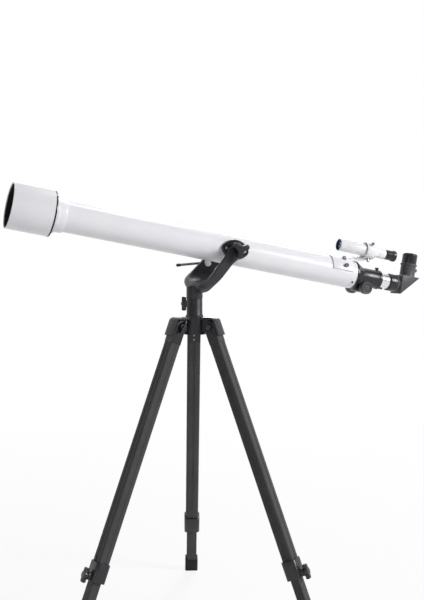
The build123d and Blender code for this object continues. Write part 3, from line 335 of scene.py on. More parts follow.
@cache
def look(finish: str) -> bpy.types.Material:
    """Gives the material of a finish by its name; all pieces of that finish share it."""
    return FINISHES[finish].material(finish)


def joint(name: str) -> dict:
    """Gives one joint of the record by its name."""
    return next(item for item in frame["joints"] if item["name"] == name)


def body_of(node: str) -> str:
    """Gives the name of the body that a node belongs to."""
    return frame["nodes"][node]["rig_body"]


def slot_of(node: str) -> str:
    """Gives the record's material slot of a node."""
    subparts = frame["record"]["subparts"]
    return next(item["material_slot"] for item in subparts if item["node"] == node)


def add(name: str, data: bpy.types.ID) -> bpy.types.Object:
    """Adds an object to the scene.

    Args:
        name: Name of the object.
        data: What it shows.

    Returns:
        The object.
    """
    made = bpy.data.objects.new(name, data)
    bpy.context.scene.collection.objects.link(made)
    return made


def settle(
    name: str,
    shape: BMesh,
    body: str,
    finish: str,
    stands_for: Sequence[str] = (),
    crease: float = 36.0,
) -> None:
    """Turns a finished shape into a piece that rides on a body.

    Args:
        name: Name of the piece.
        shape: The shape, in the row frame in metres; it is used up.
        body: Body that carries the piece.
        finish: Name of the finish.
        stands_for: Nodes that the piece stands for.
        crease: Angle in degrees past which an edge stays sharp.
    """
    loose = [edge for edge in shape.edges if not edge.link_faces]
    bmesh.ops.delete(shape, geom=loose, context="EDGES")
    for face in shape.faces:
        face.smooth = True
    limit = math.radians(crease)
    for edge in shape.edges:
        edge.smooth = len(edge.link_faces) == 2 and edge.calc_face_angle(0.0) < limit
    mesh = bpy.data.meshes.new(name)
    shape.to_mesh(mesh)
    shape.free()
    mesh.materials.append(look(finish))
    piece = add(name, mesh)
    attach(piece, body)
    if stands_for:
        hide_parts(*stands_for)
    logger.info("%s on %s, %d faces", name, body, len(mesh.polygons))


def merged_copy(node: str) -> BMesh:
    """Copies a node's mesh with its loose triangles joined up.

    Args:
        node: Name of the node.

    Returns:
        The copy.
    """
    shape = bmesh.new()
    shape.from_mesh(frame["nodes"][node].data)
    bmesh.ops.remove_doubles(shape, verts=shape.verts[:], dist=WELD)
    bmesh.ops.dissolve_limit(
        shape, angle_limit=math.radians(FLAT), verts=shape.verts[:], edges=shape.edges[:]
    )
    return shape


def bevel(shape: BMesh, edges: list[bmesh.types.BMEdge], width: float, segments: int) -> dict:
    """Rounds some edges of a shape.

    Args:
        shape: The shape.
        edges: The edges.
        width: Width of the rounding in metres.
        segments: Faces across the rounding.

    Returns:
        What the rounding made.
    """
    return bmesh.ops.bevel(
        shape, geom=edges, offset=width, offset_type="OFFSET", affect="EDGES", segments=segments,
        profile=0.5, clamp_overlap=True, material=-1,
    )


def soften(shape: BMesh, width: float, segments: int = 2, sharper_than: float = 34.0) -> None:
    """Rounds the sharp edges of a shape.

    Args:
        shape: The shape.
        width: Width of the rounding in metres.
        segments: Faces across the rounding.
        sharper_than: Angle in degrees past which an edge counts as sharp.
    """
    limit = math.radians(sharper_than)
    pairs = [edge for edge in shape.edges if len(edge.link_faces) == 2]
    sharp = [edge for edge in pairs if edge.calc_face_angle(0.0) > limit]
    bevel(shape, sharp, width, segments)
    bmesh.ops.dissolve_degenerate(shape, dist=SHORTEST, edges=shape.edges[:])


def spun(profile: Sequence[Point], place: Matrix, steps: int = ROUND) -> BMesh:
    """Turns a closed profile about its axis.

    Args:
        profile: Corners as station along the axis and radius, in millimetres.
        place: Place of the turned shape; its axis is X.
        steps: Number of faces round the axis.

    Returns:
        The turned shape.
    """
    shape = bmesh.new()
    corners = [shape.verts.new((x * MM, 0.0, r * MM)) for x, r in profile]
    sides = [shape.edges.new((a, b)) for a, b in zip(corners, corners[1:] + corners[:1])]
    bmesh.ops.spin(
        shape, geom=corners + sides, cent=(0, 0, 0), axis=(1, 0, 0), angle=math.tau, steps=steps,
        use_merge=True,
    )
    bmesh.ops.remove_doubles(shape, verts=shape.verts[:], dist=SPUN_WELD)
    bmesh.ops.recalc_face_normals(shape, faces=shape.faces[:])
    bmesh.ops.transform(shape, matrix=place, verts=shape.verts[:])
    return shape


def shoulder(station: float, radius: float, form: Span) -> list[Point]:
    """Gives the corners of a turned piece's rounded back edge.

    Args:
        station: Station of the piece's back.
        radius: Radius of the piece.
        form: Reach of the rounding, and how far its middle corner is from both faces.

    Returns:
        Three corners as station and radius.
    """
    reach, mid = form
    return [(station - reach, radius), (station - mid, radius - mid), (station, radius - reach)]


def knurled_head(shape: BMesh, radius: float, height: float, teeth: int, place: Matrix) -> None:
    """Adds a knurled head that stands on its seat and rises along Z.

    Args:
        shape: Shape that takes the head.
        radius: Outer radius in metres.
        height: Height in metres.
        teeth: Number of ridges.
        place: Place of the seat.
    """
    made = bmesh.ops.create_circle(shape, cap_ends=True, segments=2 * teeth, radius=radius)
    ring = made["verts"]
    for vert in ring[::2]:
        vert.co *= KNURL_GROOVE
    foot = ring[0].link_faces[0]
    top = bmesh.ops.extrude_face_region(shape, geom=[foot], use_keep_orig=True)["geom"]
    lid = next(item for item in top if isinstance(item, BMFace))
    bmesh.ops.translate(shape, verts=lid.verts[:], vec=(0.0, 0.0, height))
    around = {face for vert in [*ring, *lid.verts] for face in vert.link_faces}
    bmesh.ops.recalc_face_normals(shape, faces=[*around])
    rounded = bevel(shape, [*foot.edges, *lid.edges], KNURL_RIM * height, 1)
    touched = {vert for face in rounded["faces"] for vert in face.verts}
    touched |= {vert for face in shape.faces for vert in face.verts if touched & set(face.verts)}
    bmesh.ops.transform(shape, matrix=place, verts=[*touched])


@dataclass(frozen=True)
class CrossHead:
    """Screw head with a cross recess.

    Radius and height are in millimetres. The lid's taper and rim and the recess's reach and
    half width are shares of the radius, its depth one of the height.
    """

    radius: float
    height: float
    facets: int = 28
    taper: float = 0.82
    rim: float = 0.14
    reach: float = 0.75
    arm: float = 0.13
    depth: float = 0.5
    level: float = 0.999  # share of the height past which a face is of the lid
    within: float = 0.9  # share of the half width that counts as inside it

    def build(self, place: Matrix) -> BMesh:
        """Makes the head on its seat, rising along Z.

        Args:
            place: Place of the seat.

        Returns:
            The head.
        """
        radius, height = self.radius * MM, self.height * MM
        shape = bmesh.new()
        bmesh.ops.create_cone(
            shape, cap_ends=True, segments=self.facets, radius1=radius,
            radius2=self.taper * radius, depth=height,
        )
        bmesh.ops.translate(shape, verts=shape.verts[:], vec=(0.0, 0.0, height / 2))
        lid = max(shape.faces, key=lambda face: face.calc_center_median().z)
        bmesh.ops.inset_individual(shape, faces=[lid], thickness=self.rim * radius)
        arm = self.arm * radius
        for axis in (Vector((1, 0, 0)), Vector((0, 1, 0))):
            for side in (-arm, arm):
                flat = self._lid(shape)
                edges = {edge for face in flat for edge in face.edges}
                verts = {vert for face in flat for vert in face.verts}
                bmesh.ops.bisect_plane(
                    shape, geom=[*flat, *edges, *verts], plane_co=axis * side, plane_no=axis,
                    dist=LID_CUT,
                )
        recess = [
            face
            for face in self._lid(shape)
            if min(abs(value) for value in face.calc_center_median().xy) < arm * self.within
        ]
        sunk = bmesh.ops.extrude_face_region(shape, geom=recess)["geom"]
        floor = [item for item in sunk if isinstance(item, BMVert)]
        bmesh.ops.translate(shape, verts=floor, vec=(0.0, 0.0, -self.depth * height))
        gone = [face for face in recess if face.is_valid]
        bmesh.ops.delete(shape, geom=gone, context="FACES_ONLY")
        bmesh.ops.recalc_face_normals(shape, faces=shape.faces[:])
        bmesh.ops.transform(shape, matrix=place, verts=shape.verts[:])
        return shape

    def _lid(self, shape: BMesh) -> list[BMFace]:
        """Gives the faces of the lid that the recess can reach.

        Args:
            shape: The head, before it is placed.

        Returns:
            The faces.
        """
        top, reach = self.level * self.height * MM, self.reach * self.radius * MM
        return [
            face
            for face in shape.faces
            if face.calc_center_median().z > top
            and max(vert.co.to_2d().length for vert in face.verts) < reach
        ]


def join(shapes: Sequence[BMesh]) -> BMesh:
    """Puts several shapes into one.

    Args:
        shapes: The shapes; they are used up.

    Returns:
        One shape.
    """
    whole = bmesh.new()
    for shape in shapes:
        mesh = bpy.data.meshes.new("part")
        shape.to_mesh(mesh)
        shape.free()
        whole.from_mesh(mesh)
        bpy.data.meshes.remove(mesh)
    return whole


@dataclass(frozen=True)
class SoftenedNode:
    """A node shown with the small edge rounding, in millimetres, of the real piece."""

    node: str
    rounding: float = 0.0
    finish: str = ""  # the slot's own where empty
    segments: int = 2

    def build(self) -> None:
        """Builds the piece over its node."""
        shape = merged_copy(self.node)
        if self.rounding:
            soften(shape, self.rounding * MM, self.segments)
        finish = self.finish or slot_of(self.node)
        settle(f"{self.node}_shown", shape, body_of(self.node), finish, (self.node,))


@dataclass
class OpticalTube:
    """White tube, dew shield, lens cell and the plates that carry the tube.

    Stations run along the tube from the altitude pivot. Sizes are in millimetres.
    """

    tilt: float = 10.5  # degrees
    tube_wall: float = 1.5
    tube_edge: float = 0.3
    shield_wall: float = 1.8
    shield_floor: float = 3.0
    shield_edge: float = 0.5
    lip_step: int = 20
    trim_edge: float = 0.4
    trim_round: Span = (1.2, 0.35)  # see shoulder
    sleeve_wall: float = 3.0
    cell_round: Span = (1.4, 0.4)
    cell_heel: float = 0.5
    cell_groove: Span = (0.8, 0.6)  # length and height
    aperture_margin: float = 1.0
    lens_ledge: float = 4.0
    lining: float = 0.35
    lining_ends: Span = (1.0, 2.0)
    lip_margin: float = 2.0
    plug_length: float = 18.0
    plate_face: float = 38.5
    plate_screw: CrossHead = CrossHead(3.5, 1.5)
    plate_screw_reach: float = 22.0
    plate_screw_sink: float = 0.1
    plate_screw_twist: float = 0.4  # radians

    def __post_init__(self) -> None:
        """Reads the stations and radii of the turned pieces from their nodes."""
        self.tube_front, self.tube_back, self.tube_r = self.turned_size("main_tube")
        self.shield_front, self.shield_back, self.shield_r = self.turned_size("dew_shield")
        _, self.trim_back, self.trim_r = self.turned_size("shield_trim_ring")
        ring = self._spots("shield_trim_ring", self.place())
        self.trim_bore = min(math.hypot(spot.y, spot.z) for spot in ring)
        self.cell_front, self.cell_back, self.cell_r = self.turned_size("objective_cell")
        _, _, self.lens_r = self.turned_size("objective_lens")

    def turned_size(self, node: str) -> tuple[float, float, float]:
        """Measures a node that was turned about the tube's axis or about one beside it.

        Args:
            node: Name of the node.

        Returns:
            First station, last station and largest radius in millimetres.
        """
        spots = self._spots(node, self.beside(node))
        along = [spot.x for spot in spots]
        return min(along), max(along), max(math.hypot(spot.y, spot.z) for spot in spots)

    def place(self) -> Matrix:
        """Gives the tube's place: its axis is X and its pivot the origin."""
        pivot = Matrix.Translation(joint("altitude")["pos_m"])
        return pivot @ Matrix.Rotation(math.radians(self.tilt), 4, "Y")

    def beside(self, node: str) -> Matrix:
        """Gives the tube's place moved sideways onto the axis of a turned node.

        Args:
            node: Name of the node.

        Returns:
            The place.
        """
        spots = self._spots(node, self.place())
        aside, above = [spot.y for spot in spots], [spot.z for spot in spots]
        middle = (0.0, (min(aside) + max(aside)) / 2, (min(above) + max(above)) / 2)
        return self.place() @ Matrix.Translation(Vector(middle) * MM)

    @staticmethod
    def _spots(node: str, place: Matrix) -> list[Vector]:
        """Gives a node's corners in millimetres as seen from a place."""
        back = place.inverted()
        return [back @ vert.co / MM for vert in frame["nodes"][node].data.vertices]

    def build(self) -> None:
        """Builds every piece of the tube."""
        self._tube()
        self._shield()
        self._cell()
        self._plate_screws()
        for node in ("objective_lens", "lens_retainer"):
            SoftenedNode(node).build()
        SoftenedNode("altitude_plates", 0.9).build()

    def _tube(self) -> None:
        """Builds the long white tube with its broken ends, and its black lining."""
        bore, edge = self.tube_r - self.tube_wall, self.tube_edge
        front, back, outer = self.tube_front, self.tube_back, self.tube_r
        profile = [(front, bore), (front, outer - edge), (front + edge, outer)]
        profile += [(back - edge, outer), (back, outer - edge), (back, bore)]
        settle("white_tube", spun(profile, self.place()), "tube", "white_enamel", ("main_tube",))
        start = front + self.lining_ends[0]
        stop = back - self.plug_length - self.lining_ends[1]
        film = bore - self.lining
        lining = [(start, bore), (stop, bore), (stop, film), (start, film)]
        shape = spun(lining, self.place(), MIDDLE_ROUND)
        settle("tube_lining", shape, "tube", "shield_lining")

    def _shield(self) -> None:
        """Builds the dew shield with a rolled lip, its black lining and its trim ring."""
        inner = self.shield_r - self.shield_wall
        floor = self.shield_back - self.shield_floor
        rolled, middle = self.shield_wall / 2, (self.shield_r + inner) / 2
        lip = [
            (self.shield_front + rolled - rolled * math.cos(turn), middle + rolled * math.sin(turn))
            for turn in [math.radians(angle) for angle in range(-90, 91, self.lip_step)]
        ]
        profile = [
            *lip,
            (self.shield_back - self.shield_edge, self.shield_r),
            (self.shield_back, self.shield_r - self.shield_edge),
            (self.shield_back, self.cell_r),
            (floor, self.cell_r),
            (floor, inner),
        ]
        settle("shield_shell", spun(profile, self.place()), "tube", "white_enamel", ("dew_shield",))
        start, step, film = self.shield_front + self.lip_margin, self.cell_front, self.lining
        lining = [(start, inner), (floor, inner), (floor, self.cell_r), (step, self.cell_r)]
        lining += [(step, self.lens_r), (step - film, self.lens_r)]
        lining += [(step - film, self.cell_r + film), (floor - film, self.cell_r + film)]
        lining += [(floor - film, inner - film), (start, inner - film)]
        settle("shield_lining", spun(lining, self.place()), "tube", "shield_lining")
        trim = [
            (self.shield_back, self.trim_bore),
            (self.shield_back, self.trim_r - self.trim_edge),
            (self.shield_back + self.trim_edge, self.trim_r),
            *shoulder(self.trim_back, self.trim_r, self.trim_round),
            (self.trim_back, self.trim_bore),
        ]
        settle("trim_ring", spun(trim, self.place()), "tube", "black_gloss", ("shield_trim_ring",))

    def _cell(self) -> None:
        """Builds the stepped lens cell with its rounded shoulders."""
        sleeve = self.tube_r + self.sleeve_wall
        aperture = self.lens_r - self.aperture_margin
        front, back, bore = self.tube_front, self.cell_back, self.tube_r
        ledge = front - self.lens_ledge
        groove, lift = self.cell_groove
        profile = [
            (self.cell_front, self.cell_r),
            (self.trim_back, self.cell_r),
            *shoulder(front, self.cell_r, self.cell_round)[:2],
            (front, sleeve + self.cell_round[1]),
            (front + self.cell_heel, sleeve),
            *shoulder(back, sleeve, self.cell_round),
            *((back, bore + lift), (back - groove, bore + lift), (back - groove, bore)),
            *((front, bore), (front, aperture), (ledge, aperture), (ledge, self.lens_r)),
            (self.cell_front, self.lens_r),
        ]
        shape = spun(profile, self.place())
        settle("lens_cell", shape, "tube", "white_enamel", ("objective_cell",))

    def _plate_screws(self) -> None:
        """Builds the bright cross-headed screws in both altitude plates."""
        heads = []
        depth = self.plate_face - self.plate_screw.height - self.plate_screw_sink
        for side in (-1, 1):
            for reach in (-self.plate_screw_reach, self.plate_screw_reach):
                seat = Matrix.Translation(Vector((reach, side * depth, 0.0)) * MM)
                facing = Matrix.Rotation(math.radians(-90.0 * side), 4, "X")
                twist = Matrix.Rotation(self.plate_screw_twist + reach, 4, "Z")
                heads.append(self.plate_screw.build(self.place() @ seat @ (facing @ twist)))
        settle("plate_screw_heads", join(heads), "tube", "bright_chrome", ("plate_screws",))


@dataclass(frozen=True)
class ThumbScrew:
    """Knurled thumb screw or nut on a turning joint; sizes are in millimetres."""

    node: str
    turn: str
    head_r: float
    head_h: float
    shank_r: float  # no shank where 0
    teeth: int = 24
    finish: str = "chrome"
    overlap: float = 0.5  # of the shank and the head

    def build(self) -> None:
        """Builds the screw where its node is."""
        data = joint(self.turn)
        axis, origin = Vector(data["axis"]).normalized(), Vector(data["pos_m"])
        along = [(vert.co - origin).dot(axis) for vert in frame["nodes"][self.node].data.vertices]
        low, high = min(along), max(along)
        facing = axis.to_track_quat("Z", "Y").to_matrix().to_4x4()
        shape = bmesh.new()
        seat = high - self.head_h * MM
        if self.shank_r:
            middle = (seat + low) / 2 + self.overlap / 2 * MM
            bmesh.ops.create_cone(
                shape, cap_ends=True, segments=SMALL_ROUND, radius1=self.shank_r * MM,
                radius2=self.shank_r * MM, depth=seat - low + self.overlap * MM,
                matrix=Matrix.Translation((0, 0, middle)),
            )
            lay = Matrix.Translation(origin) @ facing
            bmesh.ops.transform(shape, matrix=lay, verts=shape.verts[:])
        head = bmesh.new()
        place = Matrix.Translation(origin + axis * seat) @ facing
        knurled_head(head, self.head_r * MM, self.head_h * MM, self.teeth, place)
        settle(
            f"{self.node}_knurled", join([shape, head]), body_of(self.node), self.finish,
            (self.node,), KNURL_CREASE,
        )


@dataclass
class Focuser:
    """Rack focuser, drawtube, star diagonal and eyepiece; sizes are in millimetres."""

    tube: OpticalTube
    screw: CrossHead = CrossHead(2.6, 1.4)
    screw_station: float = 299.5
    screw_angles: tuple[float, ...] = (125.0, 245.0, 365.0)
    screw_sink: float = 0.15
    # Dimples of the focus knobs; each floor gets a thin black disc of painted shade.
    dimples: int = 12
    dimple_ring: float = 8.6
    dimple_r: float = 1.2
    dimple_floor: float = 2.2
    dimple_film: float = 0.3
    pieces: tuple[SoftenedNode | ThumbScrew, ...] = (
        SoftenedNode("focuser_housing", 0.5),
        SoftenedNode("drawtube", 0.2, "bright_chrome"),
        SoftenedNode("focus_rack", 0.2),
        SoftenedNode("drawtube_collar", 0.3),
        SoftenedNode("pinion_shaft", 0.2),
        SoftenedNode("focus_knobs", 0.35, "grey_plastic"),
        SoftenedNode("diagonal_housing", 0.7, "grey_plastic"),
        SoftenedNode("diagonal_mirror"),
        SoftenedNode("eyepiece_barrel", 0.2),
        SoftenedNode("eyepiece_body", 1.4, segments=3),
        SoftenedNode("eyepiece_lens"),
        ThumbScrew("focus_lock_screw", "focus_lock_turn", 4.2, 5.0, 2.0, finish="dark_steel"),
        ThumbScrew("eyepiece_screw", "eyepiece_lock_turn", 4.2, 5.0, 2.0, finish="dark_steel"),
    )

    def build(self) -> None:
        """Builds every piece of the focuser."""
        heads = []
        for angle in self.screw_angles:
            turn = Matrix.Rotation(math.radians(angle), 4, "X")
            spot = Vector((self.screw_station, 0.0, self.tube.tube_r - self.screw_sink))
            place = self.tube.place() @ turn @ Matrix.Translation(spot * MM)
            heads.append(self.screw.build(place))
        settle("tube_screw_heads", join(heads), "tube", "dark_steel", ("focuser_screws",))
        for piece in self.pieces:
            piece.build()
        # Painted shade in the knobs' dimples.
        self._paint_dimple_shade()

    def _paint_dimple_shade(self) -> None:
        """Puts thin matte black discs on the floors of the dimples in both focus knobs, as painted
        shade in the recesses.
        """
        tilt = Matrix.Rotation(math.radians(self.tube.tilt), 4, "Y")
        axle = Matrix.Translation(joint("pinion_turn")["pos_m"]) @ tilt
        back = axle.inverted()
        across = [(back @ vert.co).y for vert in frame["nodes"]["focus_knobs"].data.vertices]
        ring, radius, film = (n * MM for n in (self.dimple_ring, self.dimple_r, self.dimple_film))
        flat = Matrix.Rotation(math.pi / 2, 4, "X")
        floors = []
        for edge, inward in ((max(across), -1.0), (min(across), 1.0)):
            depth = edge + inward * (self.dimple_floor - self.dimple_film / 2) * MM
            for number in range(self.dimples):
                floor = bmesh.new()
                bmesh.ops.create_cone(
                    floor, cap_ends=True, segments=SMALL_ROUND, radius1=radius, radius2=radius,
                    depth=film,
                )
                turn = Matrix.Rotation(math.tau * number / self.dimples, 4, "Y")
                lay = axle @ turn @ Matrix.Translation((ring, depth, 0.0)) @ flat
                bmesh.ops.transform(floor, matrix=lay, verts=floor.verts[:])
                floors.append(floor)
        settle("knob_dimple_shade", join(floors), body_of("focus_knobs"), "shield_lining")


@dataclass
class Finder:
    """Small finder telescope, its bracket and its screws; sizes are in millimetres."""

    tube: OpticalTube
    nut_station: float = 274.9
    nut_seat: float = 34.0
    nut_angles: tuple[float, ...] = (26.0, 62.0)
    nut_r: float = 4.6
    nut_h: float = 6.6
    nut_teeth: int = 22
    screws: int = 3
    baffle: float = 0.4
    lined: float = 6.0
    lining_gap: float = 0.1
    lining_front: float = 0.3
    pinhole: float = 0.5
    lining_round: int = 64
    pieces: tuple[SoftenedNode, ...] = (
        SoftenedNode("finder_tube", 0.3),
        SoftenedNode("finder_lens", 0.2),
        SoftenedNode("finder_eyepiece", 0.3),
        SoftenedNode("finder_bracket", 0.6),
    )

    def build(self) -> None:
        """Builds every piece of the finder."""
        for piece in self.pieces:
            piece.build()
        self._lining()
        nuts = []
        for angle in self.nut_angles:
            nut = bmesh.new()
            turn = Matrix.Rotation(math.radians(90.0 - angle), 4, "X")
            seat = Matrix.Translation(Vector((self.nut_station, 0.0, self.nut_seat)) * MM)
            place = self.tube.place() @ turn @ seat
            knurled_head(nut, self.nut_r * MM, self.nut_h * MM, self.nut_teeth, place)
            nuts.append(nut)
        settle(
            "bracket_nuts_knurled", join(nuts), "tube", "chrome", ("bracket_nuts",), KNURL_CREASE
        )
        for number in range(1, self.screws + 1):
            turn = f"finder_aim_{number}_turn"
            ThumbScrew(f"finder_screw_{number}", turn, 3.4, 4.5, 1.8, teeth=18).build()

    def _lining(self) -> None:
        """Blackens the finder's bore in front of its lens and behind it."""
        front, _, _ = self.tube.turned_size("finder_tube")
        lens_front, lens_back, bore = self.tube.turned_size("finder_lens")
        gap, inner, end = self.lining_gap, bore - self.baffle, lens_back + self.lined
        rings = [
            (front + self.lining_front, lens_front - gap, inner),
            (lens_back + gap, end, inner),
            (end + gap, end + gap + self.baffle, self.pinhole),
        ]
        place = self.tube.beside("finder_lens")
        lining = [
            spun([(a, low), (a, bore), (b, bore), (b, low)], place, self.lining_round)
            for a, b, low in rings
        ]
        settle("finder_lining", join(lining), "tube", "shield_lining")


@dataclass
class Mount:
    """Yoke, azimuth bearing, clamp knobs and the slow-motion rod; sizes are in millimetres."""

    casting_edge: float = 1.6
    arm_base: Point = (11.0, 32.0)  # forward of and above the azimuth bearing
    arm_bend: float = 6.6
    arm_waist: Span = (0.56, 0.74)  # shares of the solid's width, at the foot and at the eye
    arm_sides: Span = (18.0, 40.0)  # distances from the tube's axis over which the bend comes in
    arm_cuts: int = 24
    # Shares of the arm's length: the cuts, and where the bend starts and ends, each with its run.
    cut_start: float = -0.2
    cut_length: float = 1.1
    bend_start: Span = (-0.25, 0.35)
    bend_end: Span = (0.86, 0.16)
    rod_r: float = 2.9
    rod_end: float = 0.2
    cap_length: float = 7.0
    cap_gap: float = 0.02
    cap_wall: float = 0.7
    # Corners of the cap's end: station past the tip and distance in from the wall.
    cap_dome: tuple[Point, ...] = ((0.4, 0.0), (1.3, 0.9), (1.6, 2.2))
    cap_core: float = 0.2
    cap_floor: float = 0.05
    cap_round: int = 40
    pieces: tuple[SoftenedNode | ThumbScrew, ...] = (
        SoftenedNode("azimuth_spindle", 0.2),
        SoftenedNode("azimuth_washer"),
        SoftenedNode("azimuth_knob", 0.9),
        SoftenedNode("altitude_knob_near", 0.9),
        SoftenedNode("altitude_knob_far", 0.9),
        SoftenedNode("rod_bracket", 0.3),
        SoftenedNode("altitude_rod", 0.3),
        SoftenedNode("rod_eye_bolt", 0.3),
        ThumbScrew("rod_nut", "rod_lock_turn", 8.0, 4.8, 0.0, 36, "bright_chrome"),
    )

    def build(self) -> None:
        """Builds every piece of the mount."""
        self._yoke()
        for piece in self.pieces:
            piece.build()
        self._rod_cap()

    def _yoke(self) -> None:
        """Shows the yoke with its near arm drawn in and bent down, as in the photograph."""
        shape = merged_copy("yoke")
        soften(shape, self.casting_edge * MM, 3)
        eye, seam = Vector(joint("altitude")["pos_m"]), Vector(joint("azimuth")["pos_m"])
        base = seam + Vector((self.arm_base[0], 0.0, self.arm_base[1])) * MM
        along = Vector((eye.x - base.x, 0.0, eye.z - base.z))
        reach = along.length
        along.normalize()
        below = Vector((along.z, 0.0, -along.x))
        for cut in range(self.arm_cuts):
            share = self.cut_length * cut / (self.arm_cuts - 1) + self.cut_start
            parts = shape.verts[:] + shape.edges[:] + shape.faces[:]
            bmesh.ops.bisect_plane(
                shape, geom=parts, dist=CASTING_CUT, plane_co=base + along * reach * share,
                plane_no=along,
            )
        inner, outer = self.arm_sides
        (start, rise), (end, fall) = self.bend_start, self.bend_end
        for vert in shape.verts:
            away = vert.co - base
            share, aside = away.dot(along) / reach, away.dot(below)
            pull = self._ease(((eye.y - vert.co.y) / MM - inner) / (outer - inner))
            pull *= self._ease((share - start) / rise) * self._ease((end - share) / fall)
            width = self.arm_waist[0] + (self.arm_waist[1] - self.arm_waist[0]) * share
            wanted = self.arm_bend * MM * (1.0 - share) + width * aside
            vert.co += below * (wanted - aside) * pull
        bmesh.ops.dissolve_degenerate(shape, dist=SHORTEST, edges=shape.edges[:])
        settle("yoke_shown", shape, body_of("yoke"), slot_of("yoke"), ("yoke",))

    @staticmethod
    def _ease(share: float) -> float:
        """Gives a share between 0 and 1 with soft ends."""
        held = min(max(share, 0.0), 1.0)
        return held * held * (3.0 - 2.0 * held)

    def _rod_cap(self) -> None:
        """Pushes a black cap over the free end of the slow-motion rod."""
        hinge = Vector(joint("rod_pivot")["pos_m"])
        spots = [vert.co for vert in frame["nodes"]["altitude_rod"].data.vertices]
        reach = max((spot - hinge).length for spot in spots)
        ring = [spot for spot in spots if (spot - hinge).length > reach - self.rod_end * MM]
        tip = sum(ring, Vector()) / len(ring)
        facing = (tip - hinge).to_track_quat("X", "Z").to_matrix().to_4x4()
        bore, wall = self.rod_r + self.cap_gap, self.rod_r + self.cap_wall
        cup = [
            (-self.cap_length, bore),
            (-self.cap_length, wall),
            *((station, wall - inward) for station, inward in self.cap_dome),
            (self.cap_dome[-1][0], self.cap_core),
            (self.cap_floor, self.cap_core),
            (self.cap_floor, bore),
        ]
        shape = spun(cup, Matrix.Translation(tip) @ facing, self.cap_round)
        settle("rod_cap", shape, body_of("altitude_rod"), "black_plastic")


@dataclass
class Tripod:
    """Tripod head, folding legs, clamps, lock screws and rubber feet; sizes are in millimetres."""

    legs: int = 3
    splay: float = 21.0
    rivet_stations: tuple[float, ...] = (22.0, 32.0)
    rivet_r: float = 2.3
    rivet_height: float = 0.4
    rivet_facets: tuple[int, int] = (20, 12)
    bracket_face: float = 12.1
    roundings: tuple[tuple[str, float], ...] = (
        ("leg_bracket", 0.8), ("leg_clamp", 0.6), ("leg_knob", 0.7), ("foot", 0.8),
    )

    def build(self) -> None:
        """Builds every piece of the tripod."""
        SoftenedNode("tripod_head", 1.2, segments=3).build()
        SoftenedNode("hinge_bolts", 0.4).build()
        for number in range(1, self.legs + 1):
            self._leg(number)

    def place(self, number: int) -> Matrix:
        """Gives the place of one leg: the hinge is the origin and the leg runs along -Z.

        Args:
            number: Number of the leg.

        Returns:
            The place.
        """
        hinge = Matrix.Translation(joint(f"leg_fold_{number}")["pos_m"])
        lean = Matrix.Rotation(math.radians(-self.splay), 4, "Y")
        return hinge @ Matrix.Rotation(self._turn(number), 4, "Z") @ lean

    @staticmethod
    def _turn(number: int) -> float:
        """Gives the direction of a leg about the upright axis, in radians."""
        axis = joint(f"leg_fold_{number}")["axis"]
        return math.atan2(-axis[0], axis[1])

    def _leg(self, number: int) -> None:
        """Builds one leg with its brushed tubes, fork, clamp, lock screw, rivets and foot.

        Args:
            number: Number of the leg.
        """
        metal = f"black_aluminium_{number}"
        lean = (math.degrees(self._turn(number)), self.splay)
        FINISHES[metal] = replace(BLACK_ALUMINIUM, lean=lean)
        for node in (f"upper_leg_{number}", f"lower_leg_{number}"):
            settle(f"{node}_shown", merged_copy(node), body_of(node), metal, (node,))
        for start, rounding in self.roundings:
            SoftenedNode(f"{start}_{number}", rounding).build()
        around, over = self.rivet_facets
        rivets = []
        for station in self.rivet_stations:
            dome = bmesh.new()
            bmesh.ops.create_uvsphere(
                dome, u_segments=around, v_segments=over, radius=self.rivet_r * MM
            )
            bmesh.ops.scale(dome, vec=(self.rivet_height, 1.0, 1.0), verts=dome.verts[:])
            seat = Matrix.Translation(Vector((-self.bracket_face, 0.0, -station)) * MM)
            bmesh.ops.transform(dome, matrix=self.place(number) @ seat, verts=dome.verts[:])
            rivets.append(dome)
        settle(f"leg_rivets_{number}", join(rivets), f"leg_{number}", "zinc")


@dataclass(frozen=True)
class Lamp:
    """Soft square lamp that points at the mount; place and size in metres, power in watts."""

    name: str
    where: tuple[float, float, float]
    size: float
    power: float

    def hang(self) -> None:
        """Hangs the lamp in the studio."""
        data = bpy.data.lights.new(self.name, "AREA")
        data.size = self.size
        data.energy = self.power
        lamp = add(self.name, data)
        lamp.location = self.where
        beam = Vector(joint("altitude")["pos_m"]) - Vector(self.where)
        lamp.rotation_euler = beam.to_track_quat("-Z", "Y").to_euler()


